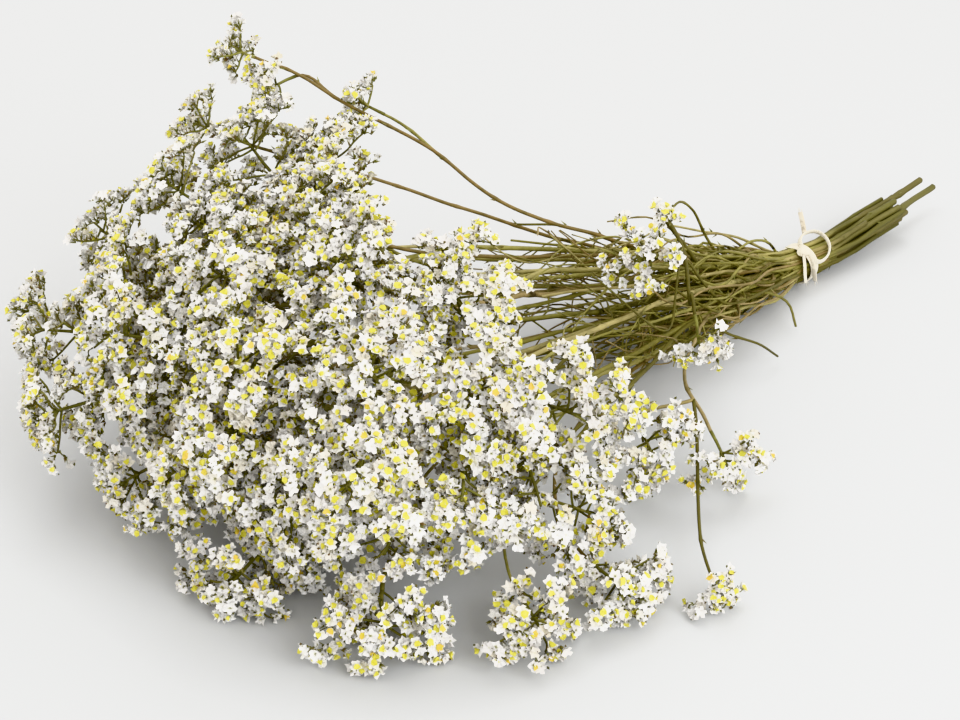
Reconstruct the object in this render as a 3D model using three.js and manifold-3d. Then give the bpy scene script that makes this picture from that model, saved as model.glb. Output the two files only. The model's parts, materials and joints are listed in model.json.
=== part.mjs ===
// A dried bunch of white statice, held by a cream tie and laid down on its side.
//
// Millimetres, +Z up. While the bunch is laid out, the tie is at X = 0, the cut stem ends point
// towards +X and the flower head towards -X, and the surface it lies on is Z = 0. Places in the
// head are given as [distance from the tie, Y, Z]. At the end the group is moved so that its
// origin is the middle of its footprint.
//
// Each stem forks into twigs that carry the flower sprays. A spray is a short stalk with a fan
// of florets round it, each a dished funnel on its own twig, drawn larger than life.
// Whatever would cross a neighbour is bent clear of it, or left out.

import * as THREE from 'three';
import { mergeVertices } from 'three/addons/utils/BufferGeometryUtils.js';
import Module from 'manifold-3d';

// Gap between neighbours
const GAP = 0.35;

// Stems where they are tied: three in the middle and nine round them
const INNER_STEMS = 3;
const OUTER_STEMS = 9;
const STEM_RADIUS = 1.5;
const STEM_SPACING = 2 * STEM_RADIUS + GAP;
const INNER_RING = STEM_SPACING / Math.sqrt(3);
const OUTER_RING = 5.3;
const BUNDLE_HEIGHT = 9;

// Stems from the cut ends to the crown, where they begin to fork
const TIED_LENGTH = 24;
const TAIL_LENGTH = 60;
const TAIL_SPREAD = 54;
const TAIL_EVENNESS = 6;
const TAIL_TURN = 0.09;
const TAIL_CLIMB = 0.08;
const NECK = 44;
const CROWN = 84;
const NECK_SPREAD = { y: 12.5, z: 9.5 };
const CROWN_SPREAD = { y: 23, z: 16 };
const INNER_SPREAD = 0.4;
const BUNDLE_CLIMB = 0.22;
const BEND_LENGTH = 25;

// Forks: how far a branch runs towards its sprays before it forks, and its radius by level
const FORK_SHARE = 0.45;
const BRANCH_PULL = 0.36;
const BRANCH_RADII = [1.15, 0.95, 0.8];
const STEP_LENGTH = 35;
const SHOOT_RADIUS = 0.7;
const ARRIVAL = 9;
const ROUTE_FORKS = 0.8;
const CHORD_EASE = 0.6;

// The flower head is a cushion of sprays
const HEAD_MIDDLE = [253, -4, 61];
const HEAD_HALF = [102, 118, 62];
const SPIRAL_PLACES = 32;
const TIE_SIDE = -0.48;
const UNDERSIDE = -0.72;
const DEEPEST_SPRAY = 0.86;
const LOWEST_TIP = 13;
const STEM_FOCUS = [60, 0, 20];

// A spray: its stalk, and rings of florets from the top down. A ring's root is a share of the
// stalk, and its reach and height are where its twigs end, seen from the spray's base.
const SPRAY_HEIGHT = 33;
const STALK_LENGTH = 24;
const TOP_RING = { count: 3, root: 0.84, reach: 7.2, height: 25.5, lean: 0.3 };
const SIDE_RING = { root: 0.6, reach: 19.5, height: 22, lean: 0.6 };
const LOW_RING = { count: 3, root: 0.28, reach: 16, height: 10, lean: 1 };
const STALK_RADIUS = 0.95;
const TWIG_RADIUS = 0.65;
const FEWEST_FLORETS = 4;

// A floret. It is drawn smaller where there is less room.
const FLORET_RADIUS = 8.4;
const FLORET_HEIGHT = 7.6;
const FLORET_DISH = 2.5;
const FLORET_SIZES = [1, 0.82, 0.66];
const SMALL_FLORET = 0.9;
const SHARED_RIM = 1.2;

// The tie: a flat band wound slantwise, with a knot, a loop, two tails and a short end that
// stands up behind
const TIE_MIDDLE = -4;
const BAND_WIDTH = 5.5;
const BAND_THICKNESS = 1.1;
const BAND_SLANT = 14;
const BAND_EASE = 1;
const KNOT = { middle: [-5.4, -4, 17.8], half: [3.4, 2.6, 1.9] };
const STRING = { width: 3.2, thickness: 1 };
const LOOP_ROUTE = [
  [-5.5, -3.6, 18],
  [-3, 1.5, 19.8],
  [2.5, 4.2, 20.4],
  [8.6, 3, 20],
  [10.6, -1, 18.4],
  [9.4, -5.6, 16],
  [5, -8.8, 13.8],
  [-0.5, -9, 13],
  [-4.6, -5.6, 16.4],
];
const END_ROUTES = [
  [[-6, -4.6, 17.4], [-8.4, -8.4, 13.6], [-9.2, -10, 9.4], [-9, -10.6, 6.4]],
  [[-4, -5.2, 17], [-4, -9.4, 13], [-4.2, -10.8, 9], [-4, -11.4, 5.6]],
  [[2.5, 4, 20.2], [4, 7.5, 24], [4.8, 10.4, 28]],
];

// Long branches that leave the cushion. A route begins at the stem nearest to its first point
// and ends at the base of its first tuft. Each further tuft has a twig of its own.
const LONG_BRANCHES = [
  {
    // High over the far side
    route: [[66, 10, 29], [98, 20, 46], [146, 34, 73], [163, 64, 92], [180, 94, 103], [191, 128, 110]],
    tufts: [
      { tip: [198, 165, 108], out: [0.25, 1, 0], scale: 0.5, florets: 4 },
      { tip: [209, 124, 106], out: [1, 0, -0.1], scale: 0.6, florets: 4 },
      { tip: [177, 101, 104], out: [0.5, 0.8, 0.3], scale: 0.5, florets: 4 },
    ],
  },
  {
    // Far side, lower
    route: [[74, 19, 26], [110, 40, 40], [150, 64, 60], [190, 94, 78]],
    tufts: [{ tip: [236, 139, 96], out: [0.6, 1, 0.2], scale: 0.65, florets: 5 }],
  },
  {
    // Hanging over the near side
    route: [[70, 0, 30], [86, 3, 62], [98, -10, 74], [107, -34, 70], [118, -52, 58]],
    tufts: [
      { tip: [126, -70, 46], out: [0.3, -0.6, -0.5], scale: 0.55, florets: 3 },
      { tip: [131, -32, 80], out: [0.7, -0.1, 0.5], scale: 0.75, florets: 5 },
    ],
  },
  {
    // Near side, down towards the surface
    route: [[78, -21, 20], [104, -40, 26], [130, -66, 32]],
    tufts: [
      { tip: [140, -107, 16], out: [0.3, -1, -0.35], scale: 0.7, florets: 5 },
      { tip: [184, -150, 7], out: [0.5, -1, -0.1], scale: 0.42, florets: 3 },
      { tip: [166, -92, 26], out: [0.4, -1, 0], scale: 0.8, florets: 5 },
    ],
  },
];

// Bare shoots near the tie
const BARE_SHOOTS = [
  [[46, 8, 26], [54, 9, 36], [66, 6, 56], [78, 2, 66], [88, -2, 64]],
  [[12, 4, 17], [20, 5, 24], [29, 6, 27], [38, 5, 26]],
  [[48, -12, 14], [42, -20, 18], [36, -27, 14], [36, -33, 5]],
  [[84, -22, 18], [79, -34, 20], [68, -43, 14], [58, -45, 5]],
  [[96, 20, 40], [112, 34, 50], [130, 46, 52]],
];

// Tufts beyond the cushion that the nearest stems carry like any other spray
const OUTER_TUFTS = [
  { tip: [298, 108, 82], out: [0.4, 1, 0.2], scale: 0.7, florets: 5 },
  { tip: [345, 80, 66], out: [0.8, 0.6, 0.1], scale: 0.8, florets: 6 },
  { tip: [358, 52, 44], out: [1, 0.3, -0.1], scale: 0.8, florets: 6 },
  { tip: [346, 14, 27], out: [1, 0, -0.2], scale: 0.85, florets: 6 },
  { tip: [334, -44, 9], out: [1, -0.4, -0.15], scale: 0.9, florets: 6 },
  { tip: [302, -106, 9], out: [0.6, -0.9, -0.15], scale: 1, florets: 6 },
  { tip: [250, -136, 9], out: [0.2, -1, -0.15], scale: 0.9, florets: 6 },
  { tip: [210, -138, 9], out: [-0.1, -1, -0.15], scale: 0.8, florets: 5 },
  { tip: [212, -118, 38], out: [-0.2, -1, 0.2], scale: 0.9, florets: 6 },
  { tip: [196, 92, 100], out: [-0.1, 0.7, 0.7], scale: 0.85, florets: 6 },
  { tip: [230, 108, 106], out: [0.2, 0.8, 0.6], scale: 0.85, florets: 6 },
  { tip: [270, 104, 98], out: [0.5, 0.8, 0.5], scale: 0.85, florets: 6 },
];

const wasm = await Module();
wasm.setup();

// Evenly spread draws between 0 and 1, the same each time for one seed
function seededDraw(seed) {
  let state = (seed * 7919 + 104729) % 2147483647;
  return () => {
    state = (state * 48271) % 2147483647;
    return state / 2147483647;
  };
}

function place([fromTie, y, z]) {
  return new THREE.Vector3(-fromTie, y, z);
}

function numbered(name, index) {
  return `${name}_${String(index + 1).padStart(2, '0')}`;
}

function between(low, high, share) {
  return low + (high - low) * share;
}

// Height of the bundle's middle at a distance from the tie, towards the head or the cut ends
function bundleHeight(fromTie) {
  if (fromTie < 0) return BUNDLE_HEIGHT + TAIL_CLIMB * Math.max(-fromTie - TIED_LENGTH / 2, 0);
  return BUNDLE_HEIGHT + (BUNDLE_CLIMB * fromTie * fromTie) / (fromTie + BEND_LENGTH);
}

// The sprays of the cushion stand evenly over it, on a spiral round its long axis, except on
// the side of the tie and underneath
function cushionSprays() {
  const turn = Math.PI * (3 - Math.sqrt(5));
  const sprays = [];
  for (let n = 0; n < SPIRAL_PLACES; n++) {
    const draw = seededDraw(500 + n);
    const front = between(1, TIE_SIDE, (n + 0.5) / SPIRAL_PLACES);
    const round = Math.sqrt(1 - front * front);
    const unit = [front, round * Math.cos(n * turn), round * Math.sin(n * turn)];
    if (unit[2] < UNDERSIDE) continue;
    const depth = between(DEEPEST_SPRAY, 1, draw());
    const tip = unit.map((share, axis) => HEAD_MIDDLE[axis] + HEAD_HALF[axis] * share * depth);
    tip[2] = Math.max(tip[2], LOWEST_TIP + 8 * draw());
    const normal = place(unit.map((share, axis) => share / HEAD_HALF[axis])).normalize();
    const fromFocus = place(tip).sub(place(STEM_FOCUS)).normalize();
    const out = normal.add(fromFocus).normalize();
    out.z = Math.max(out.z, -0.12);
    sprays.push(newSpray({ tip: place(tip), out: out.normalize(), scale: 1, florets: 6 }));
  }
  return sprays;
}

function newSpray({ tip, out, scale, florets }) {
  const base = tip.clone().addScaledVector(out, -SPRAY_HEIGHT * scale);
  base.z = Math.max(base.z, 6);
  return { tip, base, out: tip.clone().sub(base).normalize(), scale, florets: [], ring: florets };
}

function tuftSpray(tuft) {
  const spray = newSpray({ ...tuft, tip: place(tuft.tip), out: place(tuft.out).normalize() });
  return { ...spray, tuft: true };
}

// Direction round the bunch in which a spray stands, and how far off the bunch's axis
function bearing(spray) {
  const run = spray.base.clone().sub(place(STEM_FOCUS));
  const climb = bundleHeight(-spray.base.x) - bundleHeight(STEM_FOCUS[0]);
  const side = new THREE.Vector2(run.y, run.z - climb);
  return { angle: side.angle(), steepness: side.length() / Math.abs(run.x) };
}

// Shares the sprays among the stems. The middle stems take the sprays in front, and the outer
// stems take the rest in turn round the bunch, so that no two stems need to cross.
function shareSprays(sprays) {
  const sorted = sprays
    .map((spray) => ({ spray, ...bearing(spray) }))
    .sort((a, b) => a.steepness - b.steepness);
  const share = INNER_STEMS / (INNER_STEMS + OUTER_STEMS);
  const inFront = sorted.splice(0, Math.round(sprays.length * share));
  return [...dealRound(inFront, INNER_STEMS), ...dealRound(sorted, OUTER_STEMS)];
}

function dealRound(found, stems) {
  found.sort((a, b) => a.angle - b.angle);
  const shares = [];
  for (let k = 0; k < stems; k++) {
    const first = Math.round((k * found.length) / stems);
    const next = Math.round(((k + 1) * found.length) / stems);
    shares.push(found.slice(first, next));
  }
  return shares;
}

// A record of what is already placed, as balls that cover each piece
const placed = [];

function coveringBalls(curve, radius) {
  const length = curve.getLength();
  const count = Math.ceil(length / 2);
  const reach = Math.hypot(radius, length / count / 2);
  return curve.getSpacedPoints(count).map((middle) => ({ middle, radius: reach }));
}

// Whether balls keep their gap to all that belongs to others, but for a friend that they are to
// meet. Florets of one spray may share a little of their round space, as their rims still miss.
function isClear(balls, owner, friend) {
  return balls.every((ball) =>
    placed.every((other) => {
      if (other.owner === friend) return true;
      const distance = other.middle.distanceTo(ball.middle) - other.radius - ball.radius;
      if (other.owner !== owner) return distance > GAP;
      return !(ball.floret && other.floret) || distance > -SHARED_RIM;
    }),
  );
}

function keep(balls, owner) {
  for (const ball of balls) placed.push({ ...ball, owner });
}

// A smooth branch between two points, leaving and arriving in given directions
function branchCurve(start, heading, end, arrival, sideways) {
  const pull = start.distanceTo(end) * BRANCH_PULL;
  const leave = start.clone().addScaledVector(heading, pull).add(sideways);
  const arrive = end.clone().addScaledVector(arrival, -pull).add(sideways);
  return new THREE.CubicBezierCurve3(start, leave, arrive, end);
}

// Tries the straightest branch first, then bends it to each side in growing steps
function clearBranch({ start, heading, end, arrival, radius, owner, friend }) {
  const along = end.clone().sub(start).normalize();
  const across = new THREE.Vector3(0, 0, 1).cross(along).normalize();
  const upward = along.clone().cross(across);
  for (const bend of [0, 4, 8, 12, 16]) {
    for (let turn = 0; turn < (bend ? 8 : 1); turn++) {
      const angle = (turn * Math.PI) / 4;
      const sideways = across.clone().multiplyScalar(bend * Math.cos(angle));
      sideways.addScaledVector(upward, bend * Math.sin(angle));
      const curve = branchCurve(start, heading, end, arrival, sideways);
      const balls = coveringBalls(curve, radius + CHORD_EASE);
      const lowest = Math.min(...balls.map((ball) => ball.middle.z));
      if (lowest > radius + GAP && isClear(balls, owner, friend)) {
        keep(balls, owner);
        return curve;
      }
    }
  }
  return null;
}

// One stem from its cut end to its crown
function trunkCurve(stem, index, share) {
  const inner = index < INNER_STEMS;
  const ring = inner ? INNER_RING : OUTER_RING;
  const count = inner ? INNER_STEMS : OUTER_STEMS;
  const angle = ((index - (inner ? 0 : INNER_STEMS) + 0.5) / count) * 2 * Math.PI;
  const side = { y: Math.cos(angle), z: Math.sin(angle) };
  const draw = seededDraw(100 + index);
  const tail = TAIL_LENGTH + TAIL_SPREAD * draw() ** TAIL_EVENNESS;
  const spread = inner ? INNER_SPREAD : 1;
  const turned = (x) => TAIL_TURN * Math.max(x - TIED_LENGTH / 2, 0);
  const at = (x, y, z) => new THREE.Vector3(x, y * side.y + turned(x), bundleHeight(-x) + z * side.z);
  const points = [
    at(tail, ring, ring),
    at(TIED_LENGTH, ring, ring),
    at(TIED_LENGTH / 2, ring, ring),
    at(0, ring, ring),
    at(-TIED_LENGTH / 2, ring, ring),
    at(-NECK, NECK_SPREAD.y * spread, NECK_SPREAD.z * spread),
    at(-CROWN, CROWN_SPREAD.y * spread, CROWN_SPREAD.z * spread),
  ];
  return smoothRoute(points);
}

function meanBase(sprays) {
  const sum = new THREE.Vector3();
  for (const spray of sprays) sum.add(spray.base);
  return sum.divideScalar(sprays.length);
}

// Splits sprays in two where they are spread the widest
function splitSprays(sprays) {
  const width = (axis) => {
    const places = sprays.map((spray) => spray.base[axis]);
    return Math.max(...places) - Math.min(...places);
  };
  const widest = ['x', 'y', 'z'].reduce((best, axis) => (width(axis) > width(best) ? axis : best));
  const sorted = [...sprays].sort((a, b) => a.base[widest] - b.base[widest]);
  const half = Math.ceil(sorted.length / 2);
  return [sorted.slice(0, half), sorted.slice(half)];
}

// Grows the forks of all the stems together, level by level
function growForks(stems) {
  let shoots = stems.flatMap((stem) => {
    const crown = { stem, start: stem.trunk.getPoint(1), heading: stem.trunk.getTangent(1), level: 0 };
    const waiting = stem.sprays.filter((spray) => !spray.carried);
    return forked(crown, waiting, newPath(stem, 0));
  });
  while (shoots.length) shoots = shoots.flatMap(growShoot);
}

// A path is a run of curves that one tube follows
function newPath(stem, level) {
  const radius = BRANCH_RADII[Math.min(level, BRANCH_RADII.length - 1)];
  const path = { curve: new THREE.CurvePath(), radius };
  stem.branches.push(path);
  return path;
}

// Half of the sprays go on along the same path, and the others get a path of their own
function forked({ stem, start, heading, level }, sprays, path) {
  const [near, far] = splitSprays(sprays);
  const next = { stem, start, heading, level: level + 1 };
  return [
    { ...next, sprays: near, path },
    { ...next, sprays: far, path: newPath(stem, level + 1) },
  ];
}

function growShoot({ stem, start, heading, level, sprays, path }) {
  if (sprays.length === 0) return [];
  const single = sprays.length === 1;
  const middle = meanBase(sprays);
  const end = single ? sprays[0].base : start.clone().lerp(middle, FORK_SHARE);
  const arrival = single ? sprays[0].out : middle.sub(start).normalize();
  const friend = single ? sprays[0].name : null;
  const ways = { start, heading, end, arrival, radius: path.radius };
  const curve = clearBranch({ ...ways, owner: stem.name, friend });
  if (!curve) return [];
  path.curve.add(curve);
  if (!single) return forked({ stem, start: end, heading: arrival, level }, sprays, path);
  sprays[0].carried = true;
  return [];
}

// The point that is nearest to a given one, of those spaced along a curve's first stretch
function nearestOn(curve, stretch, point, steps = 60) {
  const candidates = curve.getSpacedPoints(steps).slice(0, Math.round(steps * stretch) + 1);
  const found = candidates.map((candidate) => ({
    point: candidate,
    distance: candidate.distanceTo(point),
  }));
  return found.reduce((best, next) => (next.distance < best.distance ? next : best));
}

function nearestStem(stems, point) {
  const found = stems.map((stem) => ({ stem, ...nearestOn(stem.trunk, 1, point) }));
  return found.reduce((best, next) => (next.distance < best.distance ? next : best));
}

function growLongBranch(stems, branch) {
  const points = branch.route.map(place);
  const { stem, point } = nearestStem(stems, points[0]);
  const sprays = branch.tufts.map(tuftSpray);
  const arrival = sprays[0].base.clone().addScaledVector(sprays[0].out, -ARRIVAL);
  const route = smoothRoute([point, ...points.slice(1), arrival, sprays[0].base]);
  addFixed(stem, route, BRANCH_RADII[1]);
  for (const spray of sprays.slice(1)) {
    const joint = nearestOn(route, ROUTE_FORKS, spray.base.clone().lerp(point, 0.15), stepsOf(route));
    const heading = spray.base.clone().sub(joint.point).normalize();
    const curve = branchCurve(joint.point, heading, spray.base, spray.out, new THREE.Vector3());
    addFixed(stem, curve, BRANCH_RADII[2]);
  }
  for (const spray of sprays) {
    spray.carried = true;
    stem.sprays.push(spray);
  }
  return sprays;
}

function smoothRoute(points) {
  return new THREE.CatmullRomCurve3(points, false, 'centripetal');
}

function addFixed(stem, curve, radius) {
  keep(coveringBalls(curve, radius), stem.name);
  stem.branches.push({ curve, radius });
}

function growBareShoot(stems, route) {
  const points = route.map(place);
  const { stem, point } = nearestStem(stems, points[0]);
  addFixed(stem, smoothRoute([point, ...points.slice(1)]), SHOOT_RADIUS);
}

function growStalk(spray, index) {
  const foot = spray.base.clone().addScaledVector(spray.out, GAP);
  const top = spray.base.clone().addScaledVector(spray.out, STALK_LENGTH * spray.scale);
  spray.stalk = new THREE.LineCurve3(foot, top);
  spray.name = numbered('spray', index);
  keep(coveringBalls(spray.stalk, STALK_RADIUS), spray.name);
}

// Sets the florets of one spray in rings round its stalk
function growFlorets(spray, index) {
  const draw = seededDraw(900 + index);
  const across = new THREE.Vector3(0, 0, 1).cross(spray.out);
  if (across.length() < 0.1) across.set(0, 1, 0);
  across.normalize();
  const upward = spray.out.clone().cross(across);
  const start = draw() * 2 * Math.PI;
  const rings = [TOP_RING, { ...SIDE_RING, count: spray.ring }];
  if (spray.scale === 1) rings.push(LOW_RING);
  for (const ring of rings) {
    for (let n = 0; n < ring.count; n++) {
      const angle = start + ((n + 0.5 + 0.3 * draw()) * 2 * Math.PI) / ring.count;
      const size = spray.scale * between(0.88, 1.08, draw());
      const root = spray.stalk.getPoint(ring.root + 0.06 * (n % 3));
      growFloret(spray, ring, { across, upward, angle, size, root });
    }
  }
}

// Tries a floret where it belongs, then turned to each side and nearer the stalk, then smaller
function growFloret(spray, ring, { across, upward, angle, size, root }) {
  for (const shrink of FLORET_SIZES) {
    for (const length of [1, 0.84]) {
      for (const turn of [0, 0.22, -0.22, 0.44, -0.44]) {
        const side = across.clone().multiplyScalar(Math.cos(angle + turn));
        side.addScaledVector(upward, Math.sin(angle + turn));
        const floret = newFloret(spray, ring, side, length, size * shrink, root);
        const twig = new THREE.LineCurve3(root, floret.throat);
        const balls = [floretBall(floret), ...coveringBalls(twig, TWIG_RADIUS)];
        if (isClear(balls, spray.name)) {
          keep(balls, spray.name);
          spray.florets.push(floret);
          return;
        }
      }
    }
  }
}

function newFloret(spray, ring, side, length, size, root) {
  const throat = spray.base.clone();
  throat.addScaledVector(spray.out, ring.height * spray.scale * (0.7 + 0.3 * length));
  throat.addScaledVector(side, ring.reach * spray.scale * length);
  throat.z = Math.max(throat.z, 4);
  const facing = spray.out.clone().addScaledVector(side, ring.lean).normalize();
  return { root, throat, facing, side, size };
}

// The smallest ball round a floret
function floretBall({ throat, facing, size }) {
  const reach = ((FLORET_RADIUS ** 2 + FLORET_HEIGHT ** 2) / (2 * FLORET_HEIGHT)) * size;
  return { middle: throat.clone().addScaledVector(facing, reach), radius: reach, floret: true };
}

// Solids

function solidOf(geometry) {
  geometry.deleteAttribute('normal');
  geometry.deleteAttribute('uv');
  const merged = mergeVertices(geometry, 1e-4);
  const index = merged.index.array;
  const triangles = [];
  for (let n = 0; n < index.length; n += 3) {
    const [a, b, c] = index.slice(n, n + 3);
    if (a !== b && b !== c && c !== a) triangles.push(a, b, c);
  }
  const mesh = new wasm.Mesh({
    numProp: 3,
    vertProperties: new Float32Array(merged.attributes.position.array),
    triVerts: new Uint32Array(triangles),
  });
  return new wasm.Manifold(mesh);
}

function geometryOf(solid) {
  const mesh = solid.getMesh();
  const geometry = new THREE.BufferGeometry();
  geometry.setAttribute('position', new THREE.BufferAttribute(new Float32Array(mesh.vertProperties), 3));
  geometry.setIndex(new THREE.BufferAttribute(new Uint32Array(mesh.triVerts), 1));
  geometry.computeVertexNormals();
  return geometry;
}

function tube(curve, radius, sides, steps) {
  const outline = [];
  for (let n = 0; n < sides; n++) {
    const angle = (n * 2 * Math.PI) / sides;
    outline.push(new THREE.Vector2(radius * Math.cos(angle), radius * Math.sin(angle)));
  }
  return solidOf(
    new THREE.ExtrudeGeometry(new THREE.Shape(outline), { steps, bevelEnabled: false, extrudePath: curve }),
  );
}

// A floret on its twig: a lathed funnel whose foot is drawn out to the stalk. The height of each
// point of the profile is only its place in the list of stations along the floret.
function floretSolid({ root, throat, facing, side, size }) {
  const profile = [
    new THREE.Vector2(0, 0),
    new THREE.Vector2(TWIG_RADIUS, 1),
    new THREE.Vector2(FLORET_RADIUS * size, 2),
    new THREE.Vector2(0, 3),
  ];
  const stations = [
    root,
    throat,
    throat.clone().addScaledVector(facing, FLORET_HEIGHT * size),
    throat.clone().addScaledVector(facing, (FLORET_HEIGHT - FLORET_DISH) * size),
  ];
  const geometry = new THREE.LatheGeometry(profile, size < SMALL_FLORET ? 4 : 5);
  const across = side.clone().addScaledVector(facing, -side.dot(facing)).normalize();
  const upward = across.clone().cross(facing);
  const points = geometry.attributes.position;
  for (let n = 0; n < points.count; n++) {
    const point = stations[Math.round(points.getY(n))].clone();
    point.addScaledVector(across, points.getX(n)).addScaledVector(upward, points.getZ(n));
    points.setXYZ(n, point.x, point.y, point.z);
  }
  return solidOf(geometry);
}

// Joins solids and drops any loose scrap
function joined(solids) {
  const whole = solids.reduce((sum, solid) => sum.add(solid));
  const pieces = whole.decompose();
  return pieces.reduce((largest, piece) => (piece.volume() > largest.volume() ? piece : largest));
}

// Cuts off what would sink into the surface
function aboveSurface(solid) {
  const ground = new THREE.BoxGeometry(1200, 800, 100).translate(0, 0, -50);
  return solid.subtract(solidOf(ground));
}

// A hand-laid route needs a step for each of its points, and a grown branch few steps
function stepsOf(curve) {
  return curve.points ? curve.points.length + 1 : Math.max(3, Math.round(curve.getLength() / STEP_LENGTH));
}

function stemSolid(stem) {
  const parts = [tube(stem.trunk, STEM_RADIUS, 5, 6)];
  for (const { curve, radius } of stem.branches) {
    parts.push(tube(curve, radius, radius > 1 ? 4 : 3, stepsOf(curve)));
  }
  return joined(parts);
}

function spraySolid(spray) {
  const parts = [tube(spray.stalk, STALK_RADIUS, 3, 1), ...spray.florets.map(floretSolid)];
  return aboveSurface(joined(parts));
}

function tieSolid() {
  const inner = (OUTER_RING + STEM_RADIUS + GAP) / Math.cos(THREE.MathUtils.degToRad(BAND_SLANT)) + BAND_EASE;
  const outer = inner + BAND_THICKNESS;
  const half = BAND_WIDTH / 2;
  const profile = [
    new THREE.Vector2(inner, -half),
    new THREE.Vector2(outer, -half),
    new THREE.Vector2(outer, half),
    new THREE.Vector2(inner, half),
    new THREE.Vector2(inner, -half),
  ];
  const band = new THREE.LatheGeometry(profile, 18);
  band.rotateZ(-Math.PI / 2);
  band.rotateZ(THREE.MathUtils.degToRad(BAND_SLANT));
  band.translate(TIE_MIDDLE, 0, BUNDLE_HEIGHT);
  const knot = new THREE.SphereGeometry(1, 7, 5).scale(...KNOT.half).translate(...KNOT.middle);
  const strings = [LOOP_ROUTE, ...END_ROUTES].map(stringSolid);
  return aboveSurface(joined([solidOf(band), solidOf(knot), ...strings]));
}

function stringSolid(route) {
  const { width, thickness } = STRING;
  const section = new THREE.Shape([
    new THREE.Vector2(-thickness / 2, -width / 2),
    new THREE.Vector2(thickness / 2, -width / 2),
    new THREE.Vector2(thickness / 2, width / 2),
    new THREE.Vector2(-thickness / 2, width / 2),
  ]);
  const curve = smoothRoute(route.map((point) => new THREE.Vector3(...point)));
  const steps = route.length + 1;
  return solidOf(new THREE.ExtrudeGeometry(section, { steps, bevelEnabled: false, extrudePath: curve }));
}

// The whole bunch

function layOutStems() {
  const outer = OUTER_TUFTS.map(tuftSpray);
  const shares = shareSprays([...cushionSprays(), ...outer]);
  const stems = shares.map((share, index) => ({
    name: numbered('stem', index),
    sprays: share.map((found) => found.spray),
    branches: [],
  }));
  stems.forEach((stem, index) => {
    stem.trunk = trunkCurve(stem, index);
    keep(coveringBalls(stem.trunk, STEM_RADIUS), stem.name);
  });
  for (const branch of LONG_BRANCHES) growLongBranch(stems, branch);
  for (const route of BARE_SHOOTS) growBareShoot(stems, route);
  stems.flatMap((stem) => stem.sprays).forEach(growStalk);
  growForks(stems);
  for (const stem of stems) stem.branches = stem.branches.filter(({ curve }) => curve.getLength() > 0);
  return stems;
}

function namedMesh(name, solid, material) {
  const mesh = new THREE.Mesh(geometryOf(solid), material);
  mesh.name = name;
  return mesh;
}

function stemMaterial() {
  return new THREE.MeshStandardMaterial({ color: 0x74743a, roughness: 0.8, metalness: 0 });
}

function flowerMaterial() {
  return new THREE.MeshStandardMaterial({ color: 0xf1eee8, roughness: 0.85, metalness: 0 });
}

function tieMaterial() {
  return new THREE.MeshStandardMaterial({ color: 0xe8dfc9, roughness: 0.8, metalness: 0 });
}

function buildBunch() {
  const group = new THREE.Group();
  const stems = layOutStems();
  const carried = stems.flatMap((stem) => stem.sprays).filter((spray) => spray.carried);
  const grown = [...carried.filter((spray) => spray.tuft), ...carried.filter((spray) => !spray.tuft)];
  grown.forEach(growFlorets);
  const sprays = grown.filter((spray) => spray.florets.length >= FEWEST_FLORETS);
  for (const stem of stems) group.add(namedMesh(stem.name, stemSolid(stem), stemMaterial()));
  sprays.forEach((spray, index) => {
    group.add(namedMesh(numbered('spray', index), spraySolid(spray), flowerMaterial()));
  });
  group.add(namedMesh('tie', tieSolid(), tieMaterial()));
  const box = new THREE.Box3().setFromObject(group);
  const middle = box.getCenter(new THREE.Vector3());
  group.position.set(-middle.x, -middle.y, -box.min.z);
  return group;
}

export default buildBunch();
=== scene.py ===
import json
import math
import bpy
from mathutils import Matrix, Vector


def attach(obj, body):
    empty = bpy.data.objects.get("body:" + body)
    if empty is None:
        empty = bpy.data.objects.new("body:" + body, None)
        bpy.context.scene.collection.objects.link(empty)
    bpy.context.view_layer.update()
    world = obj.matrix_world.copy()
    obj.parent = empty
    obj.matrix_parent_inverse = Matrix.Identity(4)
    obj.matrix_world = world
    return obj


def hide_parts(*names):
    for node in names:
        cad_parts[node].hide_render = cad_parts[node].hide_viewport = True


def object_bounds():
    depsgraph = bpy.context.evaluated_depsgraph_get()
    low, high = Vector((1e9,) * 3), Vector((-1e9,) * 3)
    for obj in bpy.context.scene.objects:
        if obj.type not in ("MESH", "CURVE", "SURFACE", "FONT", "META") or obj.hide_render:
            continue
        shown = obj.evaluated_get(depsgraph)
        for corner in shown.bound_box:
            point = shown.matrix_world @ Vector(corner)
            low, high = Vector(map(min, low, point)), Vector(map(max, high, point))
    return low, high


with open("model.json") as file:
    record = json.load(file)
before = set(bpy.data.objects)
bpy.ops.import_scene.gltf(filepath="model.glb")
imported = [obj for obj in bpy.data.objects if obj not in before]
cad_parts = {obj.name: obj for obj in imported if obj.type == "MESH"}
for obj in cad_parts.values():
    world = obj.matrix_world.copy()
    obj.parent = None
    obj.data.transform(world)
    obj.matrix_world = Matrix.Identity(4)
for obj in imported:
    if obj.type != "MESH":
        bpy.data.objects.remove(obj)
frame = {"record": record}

# A dried bunch of white statice, held by a cream tie and laid down on its side.
#
# The first half lays the bunch out in millimetres by the rule of the part's source, so that each
# stem, spray and tuft stands where its CAD node is. There X = 0 is the middle of the tied length,
# the cut stem ends point towards +X and the flower head towards -X, and the surface that it lies
# on is Z = 0. The second half makes the pieces in those places, and moves each finished mesh to
# the row frame.
#
# Places in the head and on branches are given by their distance from X = 0 towards the head, Y and
# Z. In the values of the second half a pair is a range, mostly of a random draw, but a pair of
# radii is for the two ends of a stem, twig or thread.

from types import SimpleNamespace

import bmesh
import bpy
import numpy as np
from mathutils import Matrix, Quaternion, Vector

CAD_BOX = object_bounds()

# Gap between neighbours, and how far apart the balls are that cover a branch to keep it clear
GAP = 0.35
BALL_SPACING = 2

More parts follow.
